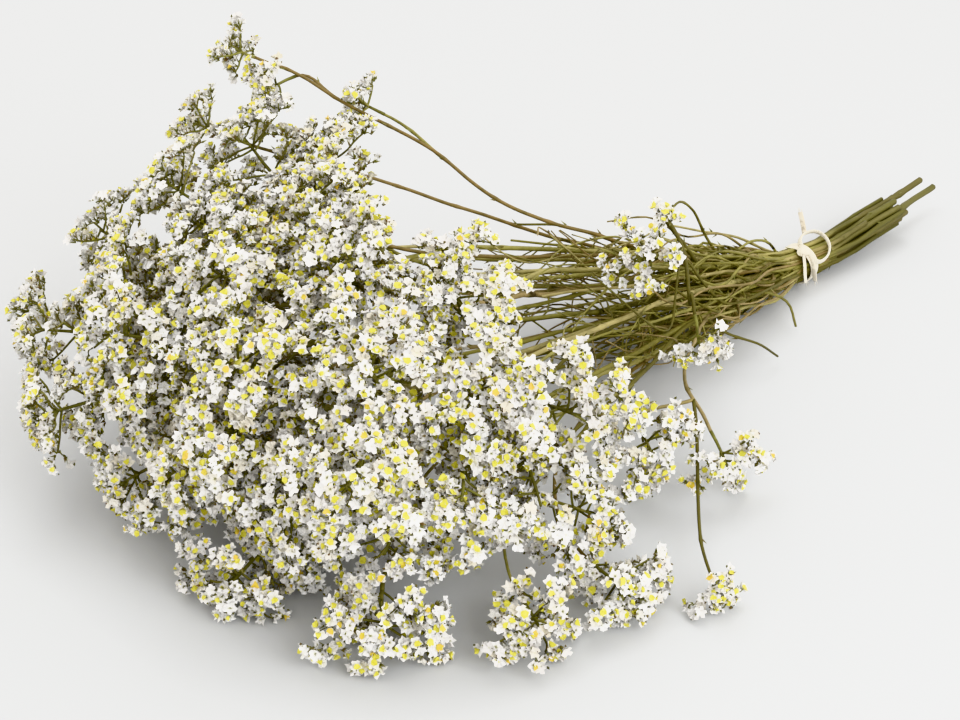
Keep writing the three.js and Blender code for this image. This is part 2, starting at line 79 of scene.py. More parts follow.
# Stems where they are tied: three in the middle and nine round them
INNER_STEMS = 3
OUTER_STEMS = 9
STEM_RADIUS = 1.5
STEM_SPACING = 2 * STEM_RADIUS + GAP
INNER_RING = STEM_SPACING / math.sqrt(3)
OUTER_RING = 5.3
BUNDLE_HEIGHT = 9

# Stems from the cut ends to the crown, where they begin to fork
TIED_LENGTH = 24
TAIL_LENGTH = 60
TAIL_SPREAD = 54
TAIL_EVENNESS = 6
TAIL_TURN = 0.09
TAIL_CLIMB = 0.08
NECK = 44
CROWN = 84
NECK_SPREAD = (12.5, 9.5)
CROWN_SPREAD = (23, 16)
INNER_SPREAD = 0.4
BUNDLE_CLIMB = 0.22
BEND_LENGTH = 25

# Forks: how far a branch runs towards its sprays before it forks, its radius by level, and the
# sideways bends that it tries in several directions until its way is clear
FORK_SHARE = 0.45
BRANCH_PULL = 0.36
BRANCH_RADII = [1.15, 0.95, 0.8]
BRANCH_BENDS = [0, 4, 8, 12, 16]
BEND_DIRECTIONS = 8
CHORD_EASE = 0.6
SHOOT_RADIUS = 0.7

# Long branches: the run into their first tuft, the share of them that forks, and how far back from
# a tuft its fork is looked for, as a share of the way to the stem
ARRIVAL = 9
ROUTE_FORKS = 0.8
FORK_SETBACK = 0.15

# The flower head is a cushion of sprays. The lowest of them end at mixed heights and hardly droop.
HEAD_MIDDLE = np.array([253, -4, 61])
HEAD_HALF = np.array([102, 118, 62])
SPIRAL_PLACES = 32
TIE_SIDE = -0.48
UNDERSIDE = -0.72
DEEPEST_SPRAY = 0.86
LOWEST_TIP = 13
LOWEST_TIP_SPREAD = 8
LOWEST_FACING = -0.12
CUSHION_TUFTS = 6
STEM_FOCUS = (60, 0, 20)

# A spray: its stalk, and rings of tufts from the top down. A ring's root is a share of the
# stalk, and its reach and height are where its twigs end, seen from the spray's base.
SPRAY_HEIGHT = 33
STALK_LENGTH = 24
LOWEST_BASE = 6
TOP_RING = {"count": 3, "root": 0.84, "reach": 7.2, "height": 25.5, "lean": 0.3}
SIDE_RING = {"root": 0.6, "reach": 19.5, "height": 22, "lean": 0.6}
LOW_RING = {"count": 3, "root": 0.28, "reach": 16, "height": 10, "lean": 1}
RING_JITTER = 0.3
ROOT_STEP = 0.06
STALK_RADIUS = 0.95
TWIG_RADIUS = 0.65
FEWEST_TUFTS = 4

# The room of one tuft, which is a single large floret in the CAD part. Where that isn't free, the
# tuft is tried turned aside, nearer to the stalk and smaller. A nearer tuft is a little lower too.
TUFT_RADIUS = 8.4
TUFT_HEIGHT = 7.6
TUFT_SPREAD = (0.88, 1.08)
TUFT_SIZES = [1, 0.82, 0.66]
TUFT_LENGTHS = [1, 0.84]
TUFT_TURNS = [0, 0.22, -0.22, 0.44, -0.44]
TUFT_DROP = 0.3
LOWEST_THROAT = 4
SHARED_RIM = 1.2

# The tie: a flat tape wound slantwise, with a knot, a loop, two tails and a short end that stands
# up. A wrap has its place along the stems and its slant in degrees.
TIE_MIDDLE = -4
TAPE_RING = 8.72
TAPE_WRAPS = [(-1.35, 14), (1.35, 16.5)]
WRAP_WIDTH = 2.9
TAPE_WIDTH = 3.1
TAPE_THICKNESS = 1.0
TAPE_POINTS = 24
TAPE_MARGIN = 1.2
KNOT_MIDDLE = (-5.4, -4, 17.8)
KNOT_HALF = (3.2, 2.5, 1.8)
KNOT_GROOVES = 3
KNOT_GROOVE_DEPTH = 0.09
KNOT_GROOVE_TWIST = 5
LOOP_ROUTE = [
    (-5.5, -3.6, 18),
    (-3, 1.5, 19.8),
    (2.5, 4.2, 20.4),
    (8.6, 3, 20),
    (10.6, -1, 18.4),
    (9.4, -5.6, 16),
    (5, -8.8, 13.8),
    (-0.5, -9, 13),
    (-4.6, -5.6, 16.4),
]
END_ROUTES = [
    [(-6, -4.6, 17.4), (-8.4, -8.4, 13.6), (-9.2, -10, 9.4), (-9, -10.6, 6.4)],
    [(-4, -5.2, 17), (-4, -9.4, 13), (-4.2, -10.8, 9), (-4, -11.4, 5.6)],
    [(2.5, 4, 20.2), (4, 7.5, 24), (4.8, 10.4, 28)],
]

# Loose threads at each cut end of the tape
FRAYS = 5
FRAY_SPREAD = 1.6
FRAY_LENGTHS = (1, 2.2)
FRAY_RADII = (0.12, 0.07)
FRAY_MARGIN = 0.3

# Long branches that leave the cushion. A route begins at the stem nearest to its first point
# and ends at the base of its first tuft. Each further tuft has a twig of its own.
LONG_BRANCHES = [
    {
        # High over the far side
        "route": [(66, 10, 29), (98, 20, 46), (146, 34, 73), (163, 64, 92), (180, 94, 103), (191, 128, 110)],
        "tufts": [
            {"tip": (198, 165, 108), "out": (0.25, 1, 0), "scale": 0.5, "tufts": 4},
            {"tip": (209, 124, 106), "out": (1, 0, -0.1), "scale": 0.6, "tufts": 4},
            {"tip": (177, 101, 104), "out": (0.5, 0.8, 0.3), "scale": 0.5, "tufts": 4},
        ],
    },
    {
        # Far side, lower
        "route": [(74, 19, 26), (110, 40, 40), (150, 64, 60), (190, 94, 78)],
        "tufts": [{"tip": (236, 139, 96), "out": (0.6, 1, 0.2), "scale": 0.65, "tufts": 5}],
    },
    {
        # Hanging over the near side
        "route": [(70, 0, 30), (86, 3, 62), (98, -10, 74), (107, -34, 70), (118, -52, 58)],
        "tufts": [
            {"tip": (126, -70, 46), "out": (0.3, -0.6, -0.5), "scale": 0.55, "tufts": 3},
            {"tip": (131, -32, 80), "out": (0.7, -0.1, 0.5), "scale": 0.75, "tufts": 5},
        ],
    },
    {
        # Near side, down towards the surface
        "route": [(78, -21, 20), (104, -40, 26), (130, -66, 32)],
        "tufts": [
            {"tip": (140, -107, 16), "out": (0.3, -1, -0.35), "scale": 0.7, "tufts": 5},
            {"tip": (184, -150, 7), "out": (0.5, -1, -0.1), "scale": 0.42, "tufts": 3},
            {"tip": (166, -92, 26), "out": (0.4, -1, 0), "scale": 0.8, "tufts": 5},
        ],
    },
]

# Bare shoots near the tie
BARE_SHOOTS = [
    [(46, 8, 26), (54, 9, 36), (66, 6, 56), (78, 2, 66), (88, -2, 64)],
    [(12, 4, 17), (20, 5, 24), (29, 6, 27), (38, 5, 26)],
    [(48, -12, 14), (42, -20, 18), (36, -27, 14), (36, -33, 5)],
    [(84, -22, 18), (79, -34, 20), (68, -43, 14), (58, -45, 5)],
    [(96, 20, 40), (112, 34, 50), (130, 46, 52)],
]

# Sprays beyond the cushion that the nearest stems carry like any other
OUTER_SPRAYS = [
    {"tip": (298, 108, 82), "out": (0.4, 1, 0.2), "scale": 0.7, "tufts": 5},
    {"tip": (345, 80, 66), "out": (0.8, 0.6, 0.1), "scale": 0.8, "tufts": 6},
    {"tip": (358, 52, 44), "out": (1, 0.3, -0.1), "scale": 0.8, "tufts": 6},
    {"tip": (346, 14, 27), "out": (1, 0, -0.2), "scale": 0.85, "tufts": 6},
    {"tip": (334, -44, 9), "out": (1, -0.4, -0.15), "scale": 0.9, "tufts": 6},
    {"tip": (302, -106, 9), "out": (0.6, -0.9, -0.15), "scale": 1, "tufts": 6},
    {"tip": (250, -136, 9), "out": (0.2, -1, -0.15), "scale": 0.9, "tufts": 6},
    {"tip": (210, -138, 9), "out": (-0.1, -1, -0.15), "scale": 0.8, "tufts": 5},
    {"tip": (212, -118, 38), "out": (-0.2, -1, 0.2), "scale": 0.9, "tufts": 6},
    {"tip": (196, 92, 100), "out": (-0.1, 0.7, 0.7), "scale": 0.85, "tufts": 6},
    {"tip": (230, 108, 106), "out": (0.2, 0.8, 0.6), "scale": 0.85, "tufts": 6},
    {"tip": (270, 104, 98), "out": (0.5, 0.8, 0.5), "scale": 0.85, "tufts": 6},
]

# A flower at its true size, in millimetres: a papery limb with ragged lobes on a narrow tube,
# small crumpled petals in it or a dark crumb of them, and bracts at its foot
CALYX_LENGTH = 4.3
CALYX_REACH = 2.6
LIMB_FOOT = 2.5
PIT_HEIGHT = 3.1
PIT_SHIFT = 0.45
OPENNESS = [0.9, 0.96, 1, 1.05, 1.1]
LOBES = 5
LOBE_TURN = 0.12
LOBE_TIP = (0.84, 1.18)
NOTCH_DEPTH = (0.52, 0.84)
RUFFLE = (-1.1, 0.9)
RIM_REACH = CALYX_REACH * OPENNESS[-1] * LOBE_TIP[1]
TUBE_RADIUS = 0.8
TUBE_LENGTH = 3
PETALS = 6
PETALS_REACH = 1.6
PETALS_HEIGHT = 5.1
PETALS_ROOT = 0.3
PETALS_DIP = 0.5
PETALS_SIZES = (0.7, 1.08)
PETALS_HEIGHTS = (0.94, 1.06)
PETALS_LOBES = (0.55, 1.25)
PETALS_RUFFLE = (-0.9, 0.4)
PETALS_LEAN = 0.3
CRUMB_REACH = 0.55
CRUMB_HEIGHT = 1.5
CRUMB_SIZES = (0.7, 1.3)
CRUMB_PLACES = (1.7, 2.8)
BRACTS = 2
BRACT_LENGTH = 3.4
BRACT_LENGTHS = (0.75, 1.2)
BRACT_RADIUS = 0.62
BRACT_FLATNESS = 0.6
BRACT_LEANS = (0.4, 0.85)
BUD_LENGTH = 3
BUD_LENGTHS = (0.8, 1.15)
BUD_RADII = (0.5, 0.7)
BUD_BELLY = 1.2

# Stain in the throats, where one in three is dark and the others are pale, and at the foot outside, where
# the olive is partly the calyx's own greenish base and partly painted shade on its underside. A tube, a
# bract and a bud have one stain below a height and another above it.
THROAT_STAINS = [1, 0.74, 0.66]
FOOT_STAIN_AND_SHADE = 0.9
TUBE_STAINS = {"height": 1, "below": 0.85, "above": 0.45}
BRACT_STAINS = {"height": 1, "below": 0, "above": 1}
BUD_STAINS = {"height": 2, "below": 0, "above": 1}

# Each small shape comes in a few variants
FLOWER_VARIANTS = 20
SMALL_VARIANTS = 6

# How flowers are set. Those inside the head draw their tone from a higher start, which paints shade on them:
# their paper goes cream to tan and their petals olive. Each keeps some room over the surface.
FLOWER_TILT = 0.5
FLOWER_UPTURN = 0.6
FLOWER_SIZES = (0.75, 0.99)
IN_BLOOM = 0.52
INNER_SHADE_TONE = 0.7
RIM_ROOM = 1
FOOT_ROOM = 0.8

# Flowers stand in two close rows on the upper side of short curved arms, with buds at the end
FLOWER_STEP = 1.45
ROW_HALF = 0.75
ROW_LEAN = 0.5
FIRST_IN_ROW = 0.9
COMB_LEANS = (-0.1, 0.7)
ARM_POINTS = 4
ARM_RADII = (0.36, 0.2)
ARM_RISE = (0.1, 0.6)
ARM_ARCH = 2
ARM_SWEEP = 0.35
ARM_MARGIN = 0.6
BUDS_PER_ARM = 2
BUD_ROOM = 1.2

# A tuft has two such arms, or three where it is wide
SHORTEST_ARM = 2.5
WIDE_TUFT = 3.5
ARM_JITTER = 0.5
ARM_TILT = 0.5
ARM_FEET = (-1.5, 2)
ARM_LENGTHS = (0.8, 1.25)

# The twig of a tuft, with flowers along its outer half unless it is short
TWIG_RADII = (0.5, 0.4)
TWIG_POINTS = 6
TWIG_BENDS = 3
TWIG_BEND_SHARE = 0.05
BARE_TWIG = 8
TWIG_FLOWERS = (0.5, 0.95)
TWIG_FLOWER_STEP = 1.5
FLOWER_SCATTER = 0.8

# The stalk of a spray
STALK_RADII = (0.75, 0.5)
STALK_POINTS = 8
STALK_BENDS = 3
STALK_BEND_REACH = 0.4

# Tufts deeper in each spray, which close the view between the outer ones
INNER_TUFTS = 7
EDGE_TUFTS = 5
INNER_LEAST_SCALE = 0.75
INNER_JITTER = 0.6
INNER_HEIGHT = (-2, 15)
INNER_REACH = (8, 20)
INNER_ROOT = 0.7
INNER_LEAN = 0.5
INNER_SIZES = (0.7, 1)
INNER_MARGIN = 4

# Tufts still deeper, spread evenly through the head as shares of its half sizes
DEEP_TUFTS = 225
DEEP_SHARES = (0.42, 0.8)
DEEP_SIZES = (0.85, 1.15)
DEEP_SCATTER = 0.9
LOWEST_DEEP_TUFT = 6

# Nothing is lower than this over the surface
REST_GAP = 0.05

# The wood: a grooved section, small bends, and nodes with a scale where there once was a leaf
STEM_TAPER = 0.86
BRANCH_TAPER = 0.8
STEM_STEP = 4.0
BRANCH_STEP = 3.0
GROOVE = 0.12
BEND_SPACING = 16
BEND_SHARE = 0.65
WOOD_MARGIN = 0.2
FIRST_NODES = 4
NODE_SPACING = 26
NODE_SWELL = 1.22
SCALE_FOOT = 0.7
SCALE_LEAN = 0.6
SCALE_SIZE = 0.9

# A thinner stem in each groove between two outer ones
COMPANION_RING = 6.95
COMPANION_RADII = (1.15, 0.55)
COMPANION_TAILS = (34, 62)
COMPANION_SPREAD = 1.08
COMPANION_ENDS = (130, 172)
COMPANION_END_SPREADS = (1.5, 1.9)
COMPANION_LOWEST = 4

# The neck reaches further out round its middle with the distance from the tie
NECK_DISTANCES = [8, 20, 44, 84, 120, 175]
NECK_REACHES = [6.6, 11, 17, 28, 37, 46]
NECK_FLATNESS = 0.75
NECK_LOWEST = 2

# Thin twigs that start behind the tie, cross the neck and end in the head. Several go with each
# stem, and one that stands further out with each outer stem.
CROSSING_STARTS = (6, 14)
CROSSING_ENDS = (90, 175)
CROSSING_DRIFT = 1.5
CROSSING_WANDER = 0.4
CROSSING_TWIGS = 9
CROSSING_RADIUS = 0.85
CROSSING_SIZES = (0.6, 1.3)
CROSSING_TIP = 0.3
CROSSING_BENDS = 7
CROSSING_REACHES = (0.35, 1.2)
LOOSE_RADII = (0.8, 0.4)
LOOSE_BENDS = 5
LOOSE_REACHES = (0.8, 1.7)

# Painted shade on the stems behind the tie, deeper towards their cut ends
TAIL_SHADE_STARTS = 2
TAIL_SHADE_LENGTH = 28
TAIL_SHADE_MOST = 0.75

# The photo's view, in the work frame
CAMERA_PLACE = (-574.1, -538.4, 495)
CAMERA_AIM = (0.4815, 0.6627, -0.5736)
CAMERA_LENS = 75

# The studio, in metres of the row frame. Each softbox has its place, what it faces, its diameter
# and its power.
FLOOR_HALF = 12
FLOOR_COLOUR = (0.55, 0.555, 0.562)
WORLD_COLOUR = (1.0, 0.98, 0.945)
WORLD_STRENGTH = 1.32
LIGHT_COLOUR = (0.95, 0.975, 1.0)
SOFTBOXES = {
    "softbox above": ((0.1, 0.7, 2.0), (-0.05, 0, 0.03), 1.5, 13),
    "softbox front": ((0.0, -1.3, 0.9), (-0.05, -0.05, 0.05), 1.2, 16),
}

# Seeds from which the random draws of each kind count
TAIL_SEED = 100
CUSHION_SEED = 500
TUFT_SEED = 900
STEM_SEED = 2000
OUTER_FLOWER_SEED = 3000
INNER_FLOWER_SEED = 3100
BLOOM_SEED_STEP = 50
BUD_SEED = 3200
SCALE_SEED = 3300
SPRAY_SEED = 4000
TIE_SEED = 5000
DEEP_SEED = 6000

# The random generator
MODULUS = 2147483647
MULTIPLIER = 48271
SEED_STEP = 7919
SEED_START = 104729

# Sockets of a Mix node that mixes colours
FIRST_COLOUR = 6
SECOND_COLOUR = 7
MIXED_COLOUR = 2

# Owner numbers in the record of what is placed: stems count from 0, sprays from 100
NOBODY = -1
FIRST_SPRAY = 100

# Moves a finished mesh from the work frame to the row frame
MILLIMETRE = 0.001
REST_PLACE = Vector(frame["record"]["mounts"][0]["pos_m"])
TIE_PLACE = REST_PLACE - Vector((TIE_MIDDLE * MILLIMETRE, 0, 0))
TO_ROW = Matrix.Translation(TIE_PLACE) @ Matrix.Scale(MILLIMETRE, 4)
WORK_BOX = np.array([TO_ROW.inverted() @ Vector(corner) for corner in CAD_BOX])

UP = np.array([0.0, 0.0, 1.0])
GOLDEN_TURN = math.pi * (3 - math.sqrt(5))

# Keeps a direction from being zero
NUDGE = np.array([0, 0.01, 0])

# Too small to count: a level direction, a distance from the Z axis, a gap between joined points, and
# a step along a curve
LEAST_LEVEL = 0.1
NEAR_AXIS = 0.1
JOINED = 1e-4
SHORT_SHARE = 1e-4


# Small helpers of the layout


def seeded_draw(seed):
    """Evenly spread draws between 0 and 1, the same each time for one seed."""
    state = (seed * SEED_STEP + SEED_START) % MODULUS

    def draw():
        nonlocal state
        state = state * MULTIPLIER % MODULUS
        return state / MODULUS

    return draw


def any_way(draw):
    return np.array([draw() - 0.5, draw() - 0.5, draw() - 0.5])


def level_way(draw):
    return np.array([draw() - 0.5, draw() - 0.5, 0])


def place(point):
    """A place in the work frame, from one given by its distance towards the head, Y and Z."""
    from_tie, y, z = point
    return np.array([-from_tie, y, z], float)


def between(low, high, share):
    return low + (high - low) * share


def unit(vector):
    return vector / np.linalg.norm(vector)


def whole(value):
    return math.floor(value + 0.5)


def bundle_height(from_tie):
    """Height of the bundle's middle at a distance from the tie, towards the head or the cut ends."""
    if from_tie < 0:
        return BUNDLE_HEIGHT + TAIL_CLIMB * max(-from_tie - TIED_LENGTH / 2, 0)
    return BUNDLE_HEIGHT + (BUNDLE_CLIMB * from_tie * from_tie) / (from_tie + BEND_LENGTH)


class Curve:
    """A line given by a function from shares between 0 and 1 to places."""

    SHARES = np.linspace(0, 1, 201)

    def __init__(self, points_at):
        self.points_at = points_at
        steps = np.linalg.norm(np.diff(points_at(self.SHARES), axis=0), axis=1)
        self.lengths = np.concatenate(([0.0], np.cumsum(steps)))
        self.length = self.lengths[-1]

    def spaced(self, count):
        """Places at equal distances along the line, both ends included."""
        distances = np.arange(count + 1) / count * self.length
        return self.points_at(np.interp(distances, self.lengths, self.SHARES))


def straight(start, end):
    return Curve(lambda shares: start + np.outer(shares, end - start))


def bezier(start, leave, arrive, end):
    def points_at(shares):
        t = shares[:, None]
        k = 1 - t
        return k**3 * start + 3 * k**2 * t * leave + 3 * k * t**2 * arrive + t**3 * end

    return Curve(points_at)


def smooth_route(points):
    """A smooth line through the points, with no overshoot between close ones."""
    stops = np.array(points, float)
    knots = np.vstack([2 * stops[0] - stops[1], stops, 2 * stops[-1] - stops[-2]])
    gaps = np.linalg.norm(np.diff(knots, axis=0), axis=1) ** 0.5

    def points_at(shares):
        run = shares * (len(stops) - 1)
        piece = np.minimum(run.astype(int), len(stops) - 2)
        t = (run - piece)[:, None]
        p0, p1, p2, p3 = (knots[piece + k] for k in range(4))
        g0, g1, g2 = (gaps[piece + k][:, None] for k in range(3))
        leave = ((p1 - p0) / g0 - (p2 - p0) / (g0 + g1) + (p2 - p1) / g1) * g1
        arrive = ((p2 - p1) / g1 - (p3 - p1) / (g1 + g2) + (p3 - p2) / g2) * g1
        rest = 3 * (p2 - p1) - 2 * leave - arrive
        return p1 + leave * t + rest * t**2 + (2 * (p1 - p2) + leave + arrive) * t**3

    return Curve(points_at)


# What is already placed, as balls that cover each piece


class Room:
    """Balls round all that is laid out, with the number of what each belongs to."""

    def __init__(self):
        self.middles = np.empty((0, 3))
        self.radii = np.empty(0)
        self.in_tuft = np.empty(0, bool)
        self.owners = np.empty(0, int)

    def keep(self, balls, owner):
        self.middles = np.vstack([self.middles, balls.middles])
        self.radii = np.append(self.radii, balls.radii)
        self.in_tuft = np.append(self.in_tuft, balls.in_tuft)
        self.owners = np.append(self.owners, np.full(len(balls.radii), owner))

    def is_clear(self, balls, owner, friend=NOBODY):
        """Whether balls keep their gap to all that belongs to others, but for one friend. Tufts of
        one spray may share a little of their round space."""
        reach = (self.radii + balls.radii.max() + GAP)[:, None]
        low = balls.middles.min(axis=0)
        high = balls.middles.max(axis=0)
        near = np.all((self.middles > low - reach) & (self.middles < high + reach), axis=1)
        near &= self.owners != friend
        apart = np.linalg.norm(self.middles[near] - balls.middles[:, None], axis=2)
        apart -= self.radii[near] + balls.radii[:, None]
        both_tufts = self.in_tuft[near] & balls.in_tuft[:, None]
        own = np.where(both_tufts, -SHARED_RIM, -np.inf)
        return bool(np.all(apart > np.where(self.owners[near] == owner, own, GAP)))


def covering_balls(curve, radius):
    """Balls in a row that cover a round bar along a curve."""
    count = math.ceil(curve.length / BALL_SPACING)
    reach = math.hypot(radius, curve.length / count / 2)
    middles = curve.spaced(count)
    return SimpleNamespace(
        middles=middles,
        radii=np.full(len(middles), reach),
        in_tuft=np.zeros(len(middles), bool),
    )


# The sprays


def new_spray(tip, out, scale, tufts, outer=True):
    base = tip - out * SPRAY_HEIGHT * scale
    base[2] = max(base[2], LOWEST_BASE)
    return SimpleNamespace(
        tip=tip,
        base=base,
        out=unit(tip - base),
        scale=scale,
        ring=tufts,
        outer=outer,
        tufts=[],
        deep=[],
        carried=False,
    )


def outer_spray(given):
    return new_spray(place(given["tip"]), unit(place(given["out"])), given["scale"], given["tufts"])


def spiral_bearing(n, count):
    """One of the directions from the head's middle that lie evenly on a spiral round its long axis,
    except on the side of the tie."""
    front = between(1, TIE_SIDE, (n + 0.5) / count)
    aside = math.sqrt(1 - front * front)
    return np.array([front, aside * math.cos(n * GOLDEN_TURN), aside * math.sin(n * GOLDEN_TURN)])


def cushion_sprays():
    """The sprays of the cushion stand evenly over it, except on the side of the tie and underneath."""
    sprays = []
    for n in range(SPIRAL_PLACES):
        draw = seeded_draw(CUSHION_SEED + n)
        bearing = spiral_bearing(n, SPIRAL_PLACES)
        if bearing[2] < UNDERSIDE:
            continue
        tip = HEAD_MIDDLE + HEAD_HALF * bearing * between(DEEPEST_SPRAY, 1, draw())
        tip[2] = max(tip[2], LOWEST_TIP + LOWEST_TIP_SPREAD * draw())
        from_focus = unit(place(tip) - place(STEM_FOCUS))
        out = unit(unit(place(bearing / HEAD_HALF)) + from_focus)
        out[2] = max(out[2], LOWEST_FACING)
        sprays.append(new_spray(place(tip), unit(out), 1, CUSHION_TUFTS, outer=False))
    return sprays


def sight(spray):
    """Direction round the bunch in which a spray stands, and how far off the bunch's axis."""
    run = spray.base - place(STEM_FOCUS)
    climb = bundle_height(-spray.base[0]) - bundle_height(STEM_FOCUS[0])
    aside = math.hypot(run[1], run[2] - climb)
    angle = math.atan2(climb - run[2], -run[1]) + math.pi
    return SimpleNamespace(spray=spray, angle=angle, steepness=aside / abs(run[0]))


def deal_round(sights, stems):
    """Shares sprays among stems in turn round the bunch."""
    in_turn = sorted(sights, key=lambda found: found.angle)
    ends = [whole(k * len(in_turn) / stems) for k in range(stems + 1)]
    return [[found.spray for found in in_turn[a:b]] for a, b in zip(ends, ends[1:])]


def share_sprays(sprays):
    """The middle stems take the sprays in front, and the outer stems take the rest."""
    steep = sorted(map(sight, sprays), key=lambda found: found.steepness)
    in_front = whole(len(sprays) * INNER_STEMS / (INNER_STEMS + OUTER_STEMS))
    return deal_round(steep[:in_front], INNER_STEMS) + deal_round(steep[in_front:], OUTER_STEMS)


# The stems and their forks


def trunk_curve(index):
    """One stem from its cut end to its crown."""
    inner = index < INNER_STEMS
    ring = INNER_RING if inner else OUTER_RING
    turn = (index + 0.5) / INNER_STEMS if inner else (index - INNER_STEMS + 0.5) / OUTER_STEMS
    aside = (math.cos(turn * 2 * math.pi), math.sin(turn * 2 * math.pi))
    tail = TAIL_LENGTH + TAIL_SPREAD * seeded_draw(TAIL_SEED + index)() ** TAIL_EVENNESS
    return smooth_route(bundle_route(tail, aside, (ring, ring), INNER_SPREAD if inner else 1))


def bundle_route(tail, aside, ring, spread):
    """Points from a cut end through the tie to the crown, at a bearing round the bundle."""
    stops = [
        (tail, *ring),
        (TIED_LENGTH, *ring),
        (TIED_LENGTH / 2, *ring),
        (0, *ring),
        (-TIED_LENGTH / 2, *ring),
        (-NECK, NECK_SPREAD[0] * spread, NECK_SPREAD[1] * spread),
        (-CROWN, CROWN_SPREAD[0] * spread, CROWN_SPREAD[1] * spread),
    ]
    return [
        (x, y * aside[0] + TAIL_TURN * max(x - TIED_LENGTH / 2, 0), bundle_height(-x) + z * aside[1])
        for x, y, z in stops
    ]


def branch_curve(start, heading, end, arrival, sideways):
    """A smooth branch between two points, leaving and arriving in given directions."""
    pull = np.linalg.norm(end - start) * BRANCH_PULL
    return bezier(start, start + heading * pull + sideways, end - arrival * pull + sideways, end)


def clear_branch(room, start, heading, end, arrival, radius, owner, friend):
    """Tries the straightest branch first, then bends it to each side in growing steps."""
    along = unit(end - start)
    across = unit(np.cross(UP, along))
    upward = np.cross(along, across)
    for bend in BRANCH_BENDS:
        for turn in range(BEND_DIRECTIONS if bend else 1):
            angle = turn * 2 * math.pi / BEND_DIRECTIONS
            sideways = across * (bend * math.cos(angle)) + upward * (bend * math.sin(angle))
            curve = branch_curve(start, heading, end, arrival, sideways)
            balls = covering_balls(curve, radius + CHORD_EASE)
            above = balls.middles[:, 2].min() > radius + GAP
            if above and room.is_clear(balls, owner, friend):
                room.keep(balls, owner)
                return curve
    return None


def split_sprays(sprays):
    """Splits sprays in two where they are spread the widest."""
    bases = np.array([spray.base for spray in sprays])
    widest = int(np.argmax(bases.max(axis=0) - bases.min(axis=0)))
    in_order = sorted(sprays, key=lambda spray: spray.base[widest])
    half = math.ceil(len(in_order) / 2)
    return in_order[:half], in_order[half:]


def new_path(stem, level):
    """A path is a run of curves that one branch follows."""
    path = SimpleNamespace(curves=[], radius=BRANCH_RADII[min(level, len(BRANCH_RADII) - 1)])
    stem.branches.append(path)
    return path


def forked(stem, start, heading, level, sprays, path):
    """Half of the sprays go on along the same path, and the others get a path of their own."""
    near, far = split_sprays(sprays)
    shared = {"stem": stem, "start": start, "heading": heading, "level": level + 1}
    return [
        SimpleNamespace(sprays=near, path=path, **shared),
        SimpleNamespace(sprays=far, path=new_path(stem, level + 1), **shared),
    ]


def grow_shoot(room, shoot):
    """Grows one shoot to its next fork or to its spray, and gives the shoots that go on."""
    sprays = shoot.sprays
    if not sprays:
        return []
    single = len(sprays) == 1
    middle = sum(spray.base for spray in sprays) / len(sprays)
    end = sprays[0].base if single else shoot.start + (middle - shoot.start) * FORK_SHARE
    arrival = sprays[0].out if single else unit(middle - shoot.start)
    friend = sprays[0].number if single else NOBODY
    curve = clear_branch(
        room, shoot.start, shoot.heading, end, arrival, shoot.path.radius, shoot.stem.number, friend
    )
    if curve is None:
        return []
    shoot.path.curves.append(curve)
    if not single:
        return forked(shoot.stem, end, arrival, shoot.level, sprays, shoot.path)
    sprays[0].carried = True
    return []


def grow_forks(room, stems):
    """Grows the forks of all the stems together, level by level."""
    shoots = []
    for stem in stems:
        waiting = [spray for spray in stem.sprays if not spray.carried]
        crown, before = stem.trunk.points_at(np.array([1, 1 - SHORT_SHARE]))
        shoots += forked(stem, crown, unit(crown - before), 0, waiting, new_path(stem, 0))
    while shoots:
        shoots = [further for shoot in shoots for further in grow_shoot(room, shoot)]


def nearest_on(curve, stretch, point, steps=60):
    """Of the places spaced along a curve's first stretch, the nearest to a point, and how near it is."""
    places = curve.spaced(steps)[: whole(steps * stretch) + 1]
    distances = np.linalg.norm(places - point, axis=1)
    nearest = int(np.argmin(distances))
    return places[nearest], distances[nearest]


def nearest_stem(stems, point):
    found = [(stem, *nearest_on(stem.trunk, 1, point)) for stem in stems]
    stem, joint, _ = min(found, key=lambda choice: choice[2])
    return stem, joint


def add_fixed(room, stem, curve, radius):
    room.keep(covering_balls(curve, radius), stem.number)
    stem.branches.append(SimpleNamespace(curves=[curve], radius=radius))


def grow_long_branch(room, stems, branch):
    """A branch along its own route, with a twig to each further tuft."""
    points = [place(point) for point in branch["route"]]
    stem, joint = nearest_stem(stems, points[0])
    sprays = [outer_spray(given) for given in branch["tufts"]]
    arrival = sprays[0].base - sprays[0].out * ARRIVAL
    stops = [joint, *points[1:], arrival, sprays[0].base]
    route = smooth_route(stops)
    add_fixed(room, stem, route, BRANCH_RADII[1])
    for spray in sprays[1:]:
        sought = spray.base + (joint - spray.base) * FORK_SETBACK
        fork, _ = nearest_on(route, ROUTE_FORKS, sought, len(stops) + 1)
        heading = unit(spray.base - fork)
        curve = branch_curve(fork, heading, spray.base, spray.out, np.zeros(3))
        add_fixed(room, stem, curve, BRANCH_RADII[2])
    for spray in sprays:
        spray.carried = True
        stem.sprays.append(spray)


def grow_bare_shoot(room, stems, route):
    points = [place(point) for point in route]
    stem, joint = nearest_stem(stems, points[0])
    add_fixed(room, stem, smooth_route([joint, *points[1:]]), SHOOT_RADIUS)


def grow_stalk(room, spray, index):
    """Keeps the room of a spray's stalk, and gives the spray its owner number."""
    foot = spray.base + spray.out * GAP
    top = spray.base + spray.out * STALK_LENGTH * spray.scale
    spray.stalk = straight(foot, top)
    spray.number = FIRST_SPRAY + index
    room.keep(covering_balls(spray.stalk, STALK_RADIUS), spray.number)


# The tufts of each spray


